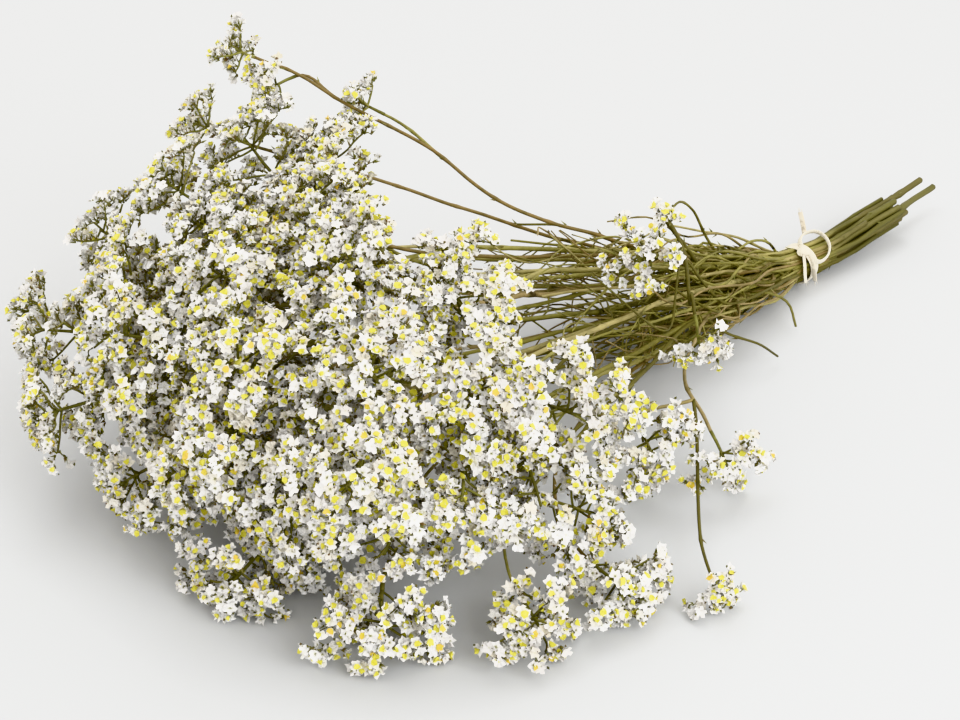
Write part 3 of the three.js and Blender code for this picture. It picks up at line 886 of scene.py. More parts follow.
def grow_tufts(room, spray, index):
    """Sets the tufts of one spray in rings round its stalk."""
    draw = seeded_draw(TUFT_SEED + index)
    across = np.cross(UP, spray.out)
    across = unit(across) if np.linalg.norm(across) >= LEAST_LEVEL else np.array([0.0, 1.0, 0.0])
    upward = np.cross(spray.out, across)
    start = draw() * 2 * math.pi
    rings = [TOP_RING, {**SIDE_RING, "count": spray.ring}]
    if spray.scale == 1:
        rings.append(LOW_RING)
    for ring in rings:
        for n in range(ring["count"]):
            angle = start + (n + 0.5 + RING_JITTER * draw()) * 2 * math.pi / ring["count"]
            size = spray.scale * between(*TUFT_SPREAD, draw())
            root = spray.stalk.points_at(np.array([ring["root"] + ROOT_STEP * (n % 3)]))[0]
            grow_tuft(room, spray, ring, across, upward, angle, size, root)


def grow_tuft(room, spray, ring, across, upward, angle, size, root):
    """Tries a tuft where it belongs, then turned aside and nearer the stalk, then smaller."""
    for shrink in TUFT_SIZES:
        for length in TUFT_LENGTHS:
            for turn in TUFT_TURNS:
                side = across * math.cos(angle + turn) + upward * math.sin(angle + turn)
                tuft = new_tuft(spray, ring, side, length, size * shrink, root)
                balls = tuft_balls(tuft)
                if room.is_clear(balls, spray.number):
                    room.keep(balls, spray.number)
                    spray.tufts.append(tuft)
                    return


def new_tuft(spray, ring, side, length, size, root):
    height = ring["height"] * spray.scale * (1 - TUFT_DROP + TUFT_DROP * length)
    throat = spray.base + spray.out * height
    throat = throat + side * (ring["reach"] * spray.scale * length)
    throat[2] = max(throat[2], LOWEST_THROAT)
    facing = unit(spray.out + side * ring["lean"])
    return SimpleNamespace(root=root, throat=throat, facing=facing, side=side, size=size, inner_shade=0)


def tuft_balls(tuft):
    """The smallest ball round a tuft, and the balls that cover its twig."""
    balls = covering_balls(straight(tuft.root, tuft.throat), TWIG_RADIUS)
    reach = (TUFT_RADIUS**2 + TUFT_HEIGHT**2) / (2 * TUFT_HEIGHT) * tuft.size
    balls.middles = np.vstack([tuft.throat + tuft.facing * reach, balls.middles])
    balls.radii = np.append(reach, balls.radii)
    balls.in_tuft = np.append(True, balls.in_tuft)
    return balls


def lay_out_bunch():
    """The stems with their branches, and the sprays that they carry, in the order of their nodes."""
    room = Room()
    outer = [outer_spray(given) for given in OUTER_SPRAYS]
    stems = []
    for index, share in enumerate(share_sprays(cushion_sprays() + outer)):
        stem = SimpleNamespace(number=index, sprays=share, branches=[], trunk=trunk_curve(index))
        room.keep(covering_balls(stem.trunk, STEM_RADIUS), stem.number)
        stems.append(stem)
    for branch in LONG_BRANCHES:
        grow_long_branch(room, stems, branch)
    for route in BARE_SHOOTS:
        grow_bare_shoot(room, stems, route)
    for index, spray in enumerate(spray for stem in stems for spray in stem.sprays):
        grow_stalk(room, spray, index)
    grow_forks(room, stems)
    carried = [spray for stem in stems for spray in stem.sprays if spray.carried]
    in_turn = [spray for spray in carried if spray.outer] + [spray for spray in carried if not spray.outer]
    for index, spray in enumerate(in_turn):
        grow_tufts(room, spray, index)
    return stems, [spray for spray in in_turn if len(spray.tufts) >= FEWEST_TUFTS]


# Small helpers of the meshes. A shape has two numbers at each of its points: tone sets pieces of one kind a
# little apart in colour, and on the flowers inside the head a higher tone is painted shade. The stain number
# goes from 0 to 1 where a colour deepens: a real stain on the flowers and buds, partly painted shade at the
# foot of a calyx, and painted shade on the stems behind the tie.


def new_shape():
    shape = bmesh.new()
    for layer in ("tone", "stain_and_shade"):
        shape.verts.layers.float.new(layer)
    return shape


def colour_points(shape, verts, **values):
    for name, value in values.items():
        layer = shape.verts.layers.float[name]
        for vert in verts:
            vert[layer] = value


def frames_along(points, sizes):
    """A frame at each point of a line, scaled to the size there, that turns only as the line does."""
    points = [Vector(point) for point in points]
    steps = [(after - before).normalized() for before, after in zip(points, points[1:])]
    ahead = steps[0]
    turn = Vector((0, 0, 1)).rotation_difference(ahead)
    frames = []
    for k, (point, size) in enumerate(zip(points, sizes)):
        mean = (steps[max(k - 1, 0)] + steps[min(k, len(steps) - 1)]).normalized()
        turn = ahead.rotation_difference(mean) @ turn
        ahead = mean
        frames.append(Matrix.LocRotScale(point, turn, Vector((*size, 1))))
    return frames


def mesh_of(shape, name):
    """Turns a shape into a mesh."""
    mesh = bpy.data.meshes.new(name)
    shape.to_mesh(mesh)
    shape.free()
    return mesh


def add_mesh(shape, mesh):
    """Adds a mesh to a shape and throws the mesh away."""
    shape.from_mesh(mesh)
    bpy.data.meshes.remove(mesh)


def draw_out(shape, frames, sides, tone, groove=0, first_face=0):
    """Adds a closed bar whose section follows the frames. Its first face may have its own material."""
    bar = new_shape()
    rim = bmesh.ops.create_circle(bar, cap_ends=True, segments=sides, radius=1)["verts"]
    for vert in rim[::2]:
        vert.co *= 1 - groove
    bmesh.ops.transform(bar, matrix=frames[0], verts=rim)
    colour_points(bar, rim, tone=tone)
    first = rim[0].link_faces[0]
    cap = first
    for before, after in zip(frames, frames[1:]):
        grown = bmesh.ops.extrude_face_region(bar, geom=[cap])["geom"]
        cap = next(part for part in grown if isinstance(part, bmesh.types.BMFace))
        bmesh.ops.transform(bar, matrix=after @ before.inverted(), verts=cap.verts)
    first.material_index = first_face
    add_mesh(shape, mesh_of(bar, "bar"))


def round_bar(shape, points, radii, sides, tone, groove=0, first_face=0):
    """A closed round bar that goes evenly from a first to a last radius, or has one at each point."""
    if len(radii) != len(points):
        radii = np.linspace(*radii, len(points))
    draw_out(shape, frames_along(points, [(r, r) for r in radii]), sides, tone, groove, first_face)


def set_copy(shape, template, foot, axis, spin, size, tone):
    """Adds a copy of a small mesh that stands along Z, at its own place and with its own tone."""
    copy = template.copy()
    turn = Vector((0, 0, 1)).rotation_difference(Vector(axis)) @ Quaternion((0, 0, 1), spin)
    copy.transform(Matrix.LocRotScale(Vector(foot), turn, Vector((size, size, size))))
    copy.attributes["tone"].data.foreach_set("value", np.full(len(copy.vertices), tone, np.float32))
    add_mesh(shape, copy)


def zigzag(points, reach, bends, draw):
    """Bends a line a little to and fro, with both ends kept, as a stem grows from node to node."""
    offsets = np.array([any_way(draw) for _ in range(bends + 1)]) * 2 * reach
    offsets[[0, -1]] = 0
    shares = np.linspace(0, bends, len(points))
    moves = [np.interp(shares, np.arange(bends + 1), offsets[:, axis]) for axis in range(3)]
    return points + np.column_stack(moves)


def kept_inside(points, margin):
    """The same points, each at least a margin inside the box of the CAD model."""
    return np.clip(np.array(points, float), WORK_BOX[0] + margin, WORK_BOX[1] - margin)


def add_object(name, data):
    added = bpy.data.objects.new(name, data)
    bpy.context.scene.collection.objects.link(added)
    return added


def finished(shape, name, materials, node):
    """Turns a shape into a piece in the row frame that stands for a CAD node."""
    for vert in shape.verts:
        vert.co.z = max(vert.co.z, REST_GAP)
    bmesh.ops.recalc_face_normals(shape, faces=shape.faces)
    mesh = mesh_of(shape, name)
    mesh.transform(TO_ROW)
    for material in materials:
        mesh.materials.append(material)
    piece = add_object(name, mesh)
    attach(piece, "root")
    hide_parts(node)


# The small shapes that are repeated: flowers and buds, each in a few variants


def turned(shape, section, axis, steps):
    """Turns a section once round an axis."""
    bmesh.ops.spin(
        shape, geom=section, cent=(0, 0, 0), axis=axis, angle=2 * math.pi, steps=steps, use_merge=True
    )


def spun(profile, steps):
    """A closed shape turned from a profile that starts and ends on the Z axis."""
    shape = new_shape()
    verts = [shape.verts.new((reach, 0, height)) for reach, height in profile]
    edges = [shape.edges.new(pair) for pair in zip(verts, verts[1:])]
    turned(shape, verts + edges, (0, 0, 1), steps)
    bmesh.ops.remove_doubles(shape, verts=shape.verts, dist=JOINED)
    bmesh.ops.recalc_face_normals(shape, faces=shape.faces)
    return shape


def cone(start_radius, end_radius, length):
    """A three-sided cone that stands on the origin. A radius may be 0."""
    shape = new_shape()
    bmesh.ops.create_cone(
        shape, cap_ends=True, segments=3, radius1=start_radius, radius2=end_radius, depth=length
    )
    bmesh.ops.remove_doubles(shape, verts=shape.verts, dist=JOINED)
    bmesh.ops.translate(shape, vec=(0, 0, length / 2), verts=shape.verts)
    return shape


def stain_in_two(shape, height, below, above):
    stain_and_shade = shape.verts.layers.float["stain_and_shade"]
    for vert in shape.verts:
        vert[stain_and_shade] = above if vert.co.z > height else below


def scale_across(vert, scale):
    vert.co.x *= scale
    vert.co.y *= scale


def kept_mesh(shape, name, material_index=0):
    """Keeps a shape as a mesh that is copied later. Its own faces keep the material they have."""
    for face in shape.faces:
        face.material_index = max(face.material_index, material_index)
    return mesh_of(shape, name)


def limb_mesh(draw, openness, throat_stain, points_per_lobe):
    """The papery limb of a calyx: a wide shallow funnel with a ragged, five-lobed rim."""
    steps = LOBES * points_per_lobe
    rim = (CALYX_REACH * openness, CALYX_LENGTH / openness)
    shape = spun([(0, LIMB_FOOT), rim, (0, PIT_HEIGHT)], steps)
    stain_and_shade = shape.verts.layers.float["stain_and_shade"]
    for vert in shape.verts:
        if vert.co.xy.length < NEAR_AXIS:
            # Outside at the foot, an olive that is partly the calyx's own greenish base and partly painted
            # shade on its underside
            vert[stain_and_shade] = throat_stain if vert.co.z > LIMB_FOOT else FOOT_STAIN_AND_SHADE
            vert.co.x += between(-PIT_SHIFT, PIT_SHIFT, draw())
            continue
        step = round(math.atan2(vert.co.y, vert.co.x) / (2 * math.pi) * steps) % steps
        lobe = between(*(LOBE_TIP if step % points_per_lobe else NOTCH_DEPTH), draw())
        vert.co = Matrix.Rotation(between(-LOBE_TURN, LOBE_TURN, draw()), 3, "Z") @ vert.co
        scale_across(vert, lobe)
        vert.co.z += between(*RUFFLE, draw())
    return kept_mesh(shape, "limb")


def tube_mesh():
    """The narrow tube of a calyx, greenish brown."""
    shape = cone(0, TUBE_RADIUS, TUBE_LENGTH)
    stain_in_two(shape, **TUBE_STAINS)
    return kept_mesh(shape, "tube")


def leaning(turn, lean):
    return unit(np.array([lean * math.cos(turn), lean * math.sin(turn), 1]))


def petals_mesh(draw):
    """Small crumpled petals that stand in a calyx and a little out of it."""
    size = between(*PETALS_SIZES, draw())
    rim = (PETALS_REACH * size, PETALS_HEIGHT * between(*PETALS_HEIGHTS, draw()))
    shape = spun([(0, PIT_HEIGHT - PETALS_ROOT), rim, (0, rim[1] - PETALS_DIP)], PETALS)
    stain_and_shade = shape.verts.layers.float["stain_and_shade"]
    for vert in shape.verts:
        if vert.co.xy.length > NEAR_AXIS:
            scale_across(vert, between(*PETALS_LOBES, draw()))
            vert.co.z += between(*PETALS_RUFFLE, draw())
        elif vert.co.z < PIT_HEIGHT:
            vert[stain_and_shade] = 1
    return kept_mesh(shape, "petals", 1)


def crumb_mesh(draw):
    """What is left of the petals of an older flower: a small dark crumb."""
    shape = spun([(0, 0), (CRUMB_REACH, CRUMB_HEIGHT / 2), (0, CRUMB_HEIGHT)], 3)
    for vert in shape.verts:
        vert.co *= between(*CRUMB_SIZES, draw())
    return kept_mesh(shape, "crumb", 2)


def on_limb(turn, reach):
    """A place on the inner side of the limb, or beside it."""
    height = between(PIT_HEIGHT, CALYX_LENGTH, min(reach / CALYX_REACH, 1)) - CRUMB_HEIGHT / 2
    return np.array([reach * math.cos(turn), reach * math.sin(turn), height])


def bract_mesh(draw):
    """A small pointed scale."""
    shape = cone(BRACT_RADIUS, 0, BRACT_LENGTH * between(*BRACT_LENGTHS, draw()))
    bmesh.ops.scale(shape, vec=(1, BRACT_FLATNESS, 1), verts=shape.verts)
    stain_in_two(shape, **BRACT_STAINS)
    return kept_mesh(shape, "bract", 2)


def flower_mesh(seed, in_bloom, points_per_lobe):
    """A calyx with its bracts and a crumb, and with its petals if it is in bloom."""
    draw = seeded_draw(seed)
    origin = (0, 0, 0)
    upright = (0, 0, 1)
    throat_stain = THROAT_STAINS[seed % len(THROAT_STAINS)]
    limb = limb_mesh(draw, OPENNESS[seed % len(OPENNESS)], throat_stain, points_per_lobe)
    parts = [(limb, origin, upright), (tube_mesh(), origin, upright)]
    if in_bloom:
        parts.append((petals_mesh(draw), origin, leaning(draw() * 2 * math.pi, PETALS_LEAN * draw())))
    crumb_place = on_limb(draw() * 2 * math.pi, between(*CRUMB_PLACES, draw()))
    parts.append((crumb_mesh(draw), crumb_place, leaning(draw() * 2 * math.pi, draw())))
    for side in range(BRACTS):
        turn = (side + draw()) * 2 * math.pi / BRACTS
        parts.append((bract_mesh(draw), origin, leaning(turn, between(*BRACT_LEANS, draw()))))
    shape = new_shape()
    for mesh, foot, axis in parts:
        set_copy(shape, mesh, foot, axis, 0, 1, 0)
        bpy.data.meshes.remove(mesh)
    return kept_mesh(shape, "flower")


def bud_mesh(seed):
    """A closed bud with a paler tip."""
    draw = seeded_draw(seed)
    belly = (between(*BUD_RADII, draw()), BUD_BELLY)
    shape = spun([(0, 0), belly, (0, BUD_LENGTH * between(*BUD_LENGTHS, draw()))], 4)
    stain_in_two(shape, **BUD_STAINS)
    return kept_mesh(shape, "bud", 2)


def flower_meshes(seed, points_per_lobe):
    """Flowers without petals, and flowers in bloom."""
    return [
        [flower_mesh(first + n, in_bloom, points_per_lobe) for n in range(FLOWER_VARIANTS)]
        for first, in_bloom in ((seed, False), (seed + BLOOM_SEED_STEP, True))
    ]


OUTER_FLOWERS = flower_meshes(OUTER_FLOWER_SEED, points_per_lobe=3)
INNER_FLOWERS = flower_meshes(INNER_FLOWER_SEED, points_per_lobe=2)
BUDS = [bud_mesh(BUD_SEED + n) for n in range(SMALL_VARIANTS)]
SCALES = [bract_mesh(seeded_draw(SCALE_SEED + n)) for n in range(SMALL_VARIANTS)]


def one_of(variants, draw):
    return variants[int(draw() * len(variants)) % len(variants)]


def move_into_box(point, reach):
    """The move that brings a ball round a point into the box of the CAD model, but for its floor."""
    move = np.maximum(WORK_BOX[0] + reach - point, 0) - np.maximum(point + reach - WORK_BOX[1], 0)
    move[2] = min(move[2], 0)
    return move


# Flower sprays


def set_flower(flowers, foot, axis, inner_shade, draw):
    """One flower, moved where its rim would reach into the surface below or out of the box."""
    size = between(*FLOWER_SIZES, draw())
    axis = unit(axis + 2 * FLOWER_TILT * any_way(draw) + FLOWER_UPTURN * UP)
    plain, blooming = INNER_FLOWERS if inner_shade else OUTER_FLOWERS
    templates = blooming if draw() < IN_BLOOM else plain
    dip = (CALYX_REACH * math.hypot(axis[0], axis[1]) - CALYX_LENGTH * axis[2]) * size
    foot = foot + UP * max(0, dip + RIM_ROOM - foot[2], FOOT_ROOM - foot[2])
    foot = foot + move_into_box(foot + axis * CALYX_LENGTH * size, RIM_REACH * size)
    template = one_of(templates, draw)
    spin = draw() * 2 * math.pi
    # A flower inside the head draws its tone from a higher start, which paints shade on it
    set_copy(flowers, template, foot, axis, spin, size, between(inner_shade, 1, draw()))


def set_comb(flowers, twigs, foot, outward, facing, length, inner_shade, draw):
    """A curved arm with two close rows of flowers on its upper side, and buds at its end."""
    sideways = np.cross(facing, outward)
    shares = np.linspace(0, 1, ARM_POINTS)
    rise = between(*ARM_RISE, draw()) * length
    sweep = between(-ARM_SWEEP, ARM_SWEEP, draw()) * length
    points = foot + np.outer(shares * length, outward)
    points = points + np.outer(np.sin(shares * ARM_ARCH) * rise, facing)
    points = points + np.outer(shares**2 * sweep, sideways)
    points = kept_inside(points, ARM_MARGIN)
    round_bar(twigs, points, ARM_RADII, 4, draw())
    count = max(2, round(length / FLOWER_STEP))
    for n in range(count):
        share = (n + FIRST_IN_ROW) / count
        hand = ROW_HALF if n % 2 else -ROW_HALF
        middle = np.array([np.interp(share, shares, points[:, axis]) for axis in range(3)])
        axis = facing + outward * between(*COMB_LEANS, share) + sideways * hand * ROW_LEAN
        set_flower(flowers, middle + sideways * hand, axis, inner_shade, draw)
    for _ in range(BUDS_PER_ARM):
        foot = points[-1] + move_into_box(points[-1], BUD_LENGTH * BUD_ROOM)
        bud = one_of(BUDS, draw)
        set_copy(flowers, bud, foot, unit(outward + facing * draw() + any_way(draw)), 0, 1, draw())


def set_tuft(flowers, twigs, tuft, draw):
    """The flowers of one tuft: combs that spread from the end of its twig, and one in the middle."""
    reach = max(TUFT_RADIUS * tuft.size - CALYX_REACH, SHORTEST_ARM)
    across = unit(tuft.side - tuft.facing * tuft.side.dot(tuft.facing))
    upward = np.cross(tuft.facing, across)
    set_twig(flowers, twigs, tuft, draw)
    middle = tuft.throat + tuft.facing * max(TUFT_HEIGHT * tuft.size - CALYX_LENGTH, 0)
    set_flower(flowers, middle, tuft.facing, tuft.inner_shade, draw)
    start = draw() * 2 * math.pi
    arms = 3 if reach > WIDE_TUFT else 2
    for arm in range(arms):
        angle = start + (arm + ARM_JITTER * (draw() - 0.5)) * 2 * math.pi / arms
        outward = across * math.cos(angle) + upward * math.sin(angle)
        tilt = between(-ARM_TILT, ARM_TILT, draw())
        facing = unit(tuft.facing + outward * tilt)
        outward = unit(outward - tuft.facing * tilt)
        foot = tuft.throat + tuft.facing * between(*ARM_FEET, draw())
        length = reach * between(*ARM_LENGTHS, draw())
        set_comb(flowers, twigs, foot, outward, facing, length, tuft.inner_shade, draw)


def set_twig(flowers, twigs, tuft, draw):
    """The twig from the stalk to a tuft, with a few flowers along its outer half."""
    run = tuft.throat - tuft.root
    length = np.linalg.norm(run)
    points = tuft.root + np.outer(np.linspace(0, 1, TWIG_POINTS), run)
    points = kept_inside(zigzag(points, length * TWIG_BEND_SHARE, TWIG_BENDS, draw), ARM_MARGIN)
    round_bar(twigs, points, TWIG_RADII, 5, draw())
    if length < BARE_TWIG:
        return
    along = unit(run)
    over = unit(tuft.facing + unit(np.cross(along, np.cross(tuft.facing, along))))
    for share in np.arange(*TWIG_FLOWERS, FLOWER_STEP * TWIG_FLOWER_STEP / length):
        axis = over + FLOWER_SCATTER * any_way(draw)
        set_flower(flowers, tuft.root + run * share, axis, tuft.inner_shade, draw)


def inner_tuft(root, throat, facing, side, size):
    # Its flowers draw their tone from a higher start, which paints shade on them
    return SimpleNamespace(root=root, throat=throat, facing=facing, side=side, size=size, inner_shade=INNER_SHADE_TONE)


def inner_tufts(spray, draw):
    """Tufts deeper in a spray, in a ring that is wider and lower than its own."""
    across = unit(np.cross(UP, spray.out) + NUDGE)
    upward = np.cross(spray.out, across)
    most = EDGE_TUFTS if spray.outer else INNER_TUFTS
    count = round(most * spray.scale) if spray.scale > INNER_LEAST_SCALE else 0
    start = draw() * 2 * math.pi
    tufts = []
    for n in range(count):
        angle = start + (n + INNER_JITTER * draw()) * 2 * math.pi / count
        side = across * math.cos(angle) + upward * math.sin(angle)
        height = between(*INNER_HEIGHT, draw()) * spray.scale
        reach = between(*INNER_REACH, draw()) * spray.scale
        throat = kept_inside([spray.base + spray.out * height + side * reach], INNER_MARGIN)[0]
        root = spray.base + spray.out * max(height - reach * INNER_ROOT, 0)
        facing = unit(spray.out + side * INNER_LEAN + FLOWER_SCATTER * any_way(draw))
        tufts.append(inner_tuft(root, throat, facing, side, between(*INNER_SIZES, draw())))
    return tufts


def add_deep_tufts(sprays):
    """Tufts inside the head, each on a twig of the nearest spray."""
    for n in range(DEEP_TUFTS):
        draw = seeded_draw(DEEP_SEED + n)
        bearing = spiral_bearing(n, DEEP_TUFTS)
        throat = place(HEAD_MIDDLE + HEAD_HALF * bearing * between(*DEEP_SHARES, draw()))
        if throat[2] < LOWEST_DEEP_TUFT:
            continue
        spray = min(sprays, key=lambda found: np.linalg.norm(found.base - throat))
        facing = unit(unit(place(bearing / HEAD_HALF)) + DEEP_SCATTER * any_way(draw))
        side = unit(throat - spray.base)
        size = between(*DEEP_SIZES, draw())
        spray.deep.append(inner_tuft(spray.base, throat, facing, side, size))


def make_spray(spray, number, materials):
    draw = seeded_draw(SPRAY_SEED + number)
    flowers = new_shape()
    twigs = new_shape()
    top = spray.base + spray.out * STALK_LENGTH * spray.scale
    stalk = spray.base + np.outer(np.linspace(0, 1, STALK_POINTS), top - spray.base)
    round_bar(twigs, zigzag(stalk, STALK_BEND_REACH, STALK_BENDS, draw), STALK_RADII, 6, draw())
    for tuft in spray.tufts + inner_tufts(spray, draw) + spray.deep:
        set_tuft(flowers, twigs, tuft, draw)
    for face in twigs.faces:
        face.smooth = True
    node = f"spray_{number:02d}"
    flower_materials = [materials.calyx, materials.petals, materials.bract]
    finished(flowers, f"{node}_flowers", flower_materials, node)
    finished(twigs, f"{node}_twigs", [materials.twig], node)


# Stems


def grow_limb(shape, curves, ends, sides, draw, step=STEM_STEP, first_face=0):
    """One woody branch along its curves, with small scales where it once had leaves."""
    runs = [curve.spaced(max(2, round(curve.length / step))) for curve in curves]
    points = np.vstack([runs[0], *[run[1:] for run in runs[1:]]])
    bends = max(2, round(sum(curve.length for curve in curves) / BEND_SPACING))
    points = kept_inside(zigzag(points, ends[0] * BEND_SHARE, bends, draw), ends[0] + WOOD_MARGIN)
    tone = draw()
    radii = np.linspace(*ends, len(points))
    first = FIRST_NODES + int(draw() * FIRST_NODES)
    nodes = list(range(first, len(points) - 2, max(5, round(NODE_SPACING / step))))
    radii[nodes] *= NODE_SWELL
    round_bar(shape, points, radii, sides, tone, GROOVE, first_face)
    for node in nodes:
        along = unit(points[node + 1] - points[node - 1])
        aside = unit(np.cross(along, unit(any_way(draw))))
        foot = points[node] + aside * radii[node] * SCALE_FOOT
        scale = one_of(SCALES, draw)
        axis = unit(-along * np.sign(along[0]) + aside * SCALE_LEAN)
        set_copy(shape, scale, foot, axis, 0, SCALE_SIZE, draw())


def companion_curve(index, draw):
    """A thinner stem in the groove between two outer ones, which ends inside the head."""
    turn = (index - INNER_STEMS + 1) / OUTER_STEMS * 2 * math.pi
    aside = (math.cos(turn), math.sin(turn))
    tail = between(*COMPANION_TAILS, draw())
    points = bundle_route(tail, aside, (COMPANION_RING, COMPANION_RING), COMPANION_SPREAD)
    end = between(*COMPANION_ENDS, draw())
    spread = between(*COMPANION_END_SPREADS, draw())
    y, z = (CROWN_SPREAD[0] * spread * aside[0], CROWN_SPREAD[1] * spread * aside[1])
    points.append((-end, y, max(bundle_height(end) + z, COMPANION_LOWEST)))
    return smooth_route(points)


def crossing_curve(reaches, bends, draw):
    """A thin twig that leaves the bundle near the tie and wanders to and fro across the neck."""
    turn = draw() * 2 * math.pi
    drift = between(-CROSSING_DRIFT, CROSSING_DRIFT, draw())
    end = between(*CROSSING_ENDS, draw())
    reach = NECK_REACHES[0]
    first = NECK_DISTANCES[0]
    stops = [(distance, reach, turn) for distance in (-between(*CROSSING_STARTS, draw()), first)]
    for n in range(1, bends + 1):
        share = n / bends
        distance = between(first, end, share)
        reach = np.interp(distance, NECK_DISTANCES, NECK_REACHES) * between(*reaches, draw())
        wander = between(-CROSSING_WANDER, CROSSING_WANDER, draw())
        stops.append((distance, reach, turn + drift * share + wander))
    return smooth_route([in_neck(*stop) for stop in stops])


def in_neck(distance, reach, turn):
    """A place at a distance from the tie, and so far out from the middle of the neck."""
    height = bundle_height(distance) + NECK_FLATNESS * reach * math.sin(turn)
    return (-distance, reach * math.cos(turn), max(height, NECK_LOWEST))


def paint_tail_shade(shape):
    """Paints shade on the stems behind the tie, deeper towards their cut ends. The number is set on the
    scales there too.
    """
    stain_and_shade = shape.verts.layers.float["stain_and_shade"]
    for vert in shape.verts:
        if vert.co.x > TAIL_SHADE_STARTS:
            vert[stain_and_shade] = min((vert.co.x - TAIL_SHADE_STARTS) / TAIL_SHADE_LENGTH, TAIL_SHADE_MOST)


def make_stem(stem, materials):
    draw = seeded_draw(STEM_SEED + stem.number)
    shape = new_shape()
    grow_limb(shape, [stem.trunk], (STEM_RADIUS, STEM_RADIUS * STEM_TAPER), 8, draw, first_face=1)
    if stem.number >= INNER_STEMS:
        grow_limb(shape, [companion_curve(stem.number, draw)], COMPANION_RADII, 7, draw, first_face=1)
        grow_limb(shape, [crossing_curve(LOOSE_REACHES, LOOSE_BENDS, draw)], LOOSE_RADII, 5, draw)
    for _ in range(CROSSING_TWIGS):
        ends = (CROSSING_RADIUS * between(*CROSSING_SIZES, draw()), CROSSING_TIP)
        grow_limb(shape, [crossing_curve(CROSSING_REACHES, CROSSING_BENDS, draw)], ends, 5, draw)
    for branch in stem.branches:
        if branch.curves:
            ends = (branch.radius, branch.radius * BRANCH_TAPER)
            grow_limb(shape, branch.curves, ends, 6, draw, step=BRANCH_STEP)
    # Painted shade on the stems behind the tie
    paint_tail_shade(shape)
    for face in shape.faces:
        face.smooth = face.material_index == 0
    node = f"stem_{stem.number + 1:02d}"
    finished(shape, f"{node}_wood", [materials.stem, materials.pith, materials.bract], node)


# The tie


def grow_tape(shape, route, draw):
    """A soft flat tape along a route. Gives the points that it follows."""
    points = kept_inside(smooth_route(route).spaced(TAPE_POINTS), TAPE_MARGIN)
    sizes = [(TAPE_THICKNESS / 2, TAPE_WIDTH / 2)] * len(points)
    draw_out(shape, frames_along(points, sizes), 8, draw())
    return points


def make_tie(materials):
    draw = seeded_draw(TIE_SEED)
    shape = new_shape()
    for offset, slant in TAPE_WRAPS:
        grow_ring(shape, offset, math.radians(slant), draw())
    grow_knot(shape, draw)
    grow_tape(shape, LOOP_ROUTE, draw)
    for route in END_ROUTES:
        points = grow_tape(shape, route, draw)
        for _ in range(FRAYS):
            grow_fray(shape, points, draw)
    for face in shape.faces:
        face.smooth = True
    finished(shape, "tie_tape", [materials.tape], "tie")


def grow_ring(shape, offset, slant, tone):
    """One turn of tape round the bundle."""
    section = bmesh.ops.create_circle(shape, segments=10, radius=0.5)["verts"]
    bmesh.ops.scale(shape, vec=(WRAP_WIDTH, TAPE_THICKNESS, 1), verts=section)
    bmesh.ops.translate(shape, vec=(offset, TAPE_RING, 0), verts=section)
    edges = list({edge for vert in section for edge in vert.link_edges})
    first = len(shape.verts)
    turned(shape, section + edges, (1, 0, 0), 48)
    shape.verts.ensure_lookup_table()
    ring = section + shape.verts[first:]
    bmesh.ops.rotate(shape, cent=(0, 0, 0), matrix=Matrix.Rotation(slant, 3, "Z"), verts=ring)
    bmesh.ops.translate(shape, vec=(TIE_MIDDLE, 0, BUNDLE_HEIGHT), verts=ring)
    colour_points(shape, ring, tone=tone)


def grow_knot(shape, draw):
    """A small lump with the grooves of the tape that is wound into it."""
    knot = bmesh.ops.create_uvsphere(shape, u_segments=24, v_segments=14, radius=1)["verts"]
    for vert in knot:
        turn = math.atan2(vert.co.y, vert.co.x)
        groove = math.sin(KNOT_GROOVES * turn + KNOT_GROOVE_TWIST * vert.co.z)
        vert.co *= 1 + KNOT_GROOVE_DEPTH * groove
    bmesh.ops.scale(shape, vec=KNOT_HALF, verts=knot)
    bmesh.ops.translate(shape, vec=KNOT_MIDDLE, verts=knot)
    colour_points(shape, knot, tone=draw())


def grow_fray(shape, points, draw):
    """A loose thread at the cut end of a tape."""
    end = points[-1] + level_way(draw) * FRAY_SPREAD
    along = unit(points[-1] - points[-2])
    tip = end + along * between(*FRAY_LENGTHS, draw()) + level_way(draw)
    round_bar(shape, kept_inside([points[-2], end, tip], FRAY_MARGIN), FRAY_RADII, 4, draw())


# Materials


def mix_colour(tree, low, high, share):
    """Two colours mixed by a number that changes over the surface."""
    mix = tree.nodes.new("ShaderNodeMix")
    mix.data_type = "RGBA"
    tree.links.new(share, mix.inputs["Factor"])
    for socket, colour in ((FIRST_COLOUR, low), (SECOND_COLOUR, high)):
        if isinstance(colour, bpy.types.NodeSocket):
            tree.links.new(colour, mix.inputs[socket])
        else:
            mix.inputs[socket].default_value = (*colour, 1)
    return mix.outputs[MIXED_COLOUR]


def point_number(tree, name):
    attribute = tree.nodes.new("ShaderNodeAttribute")
    attribute.attribute_name = name
    return attribute.outputs["Fac"]


def ramp(tree, value, stops):
    """Colours by a number from 0 to 1, with (place, colour) stops."""
    node = tree.nodes.new("ShaderNodeValToRGB")
    elements = node.color_ramp.elements
    while len(elements) < len(stops):
        elements.new(0.5)
    for element, (position, colour) in zip(elements, stops):
        element.position = position
        element.color = (*colour, 1)
    tree.links.new(value, node.inputs["Fac"])
    return node.outputs["Color"]


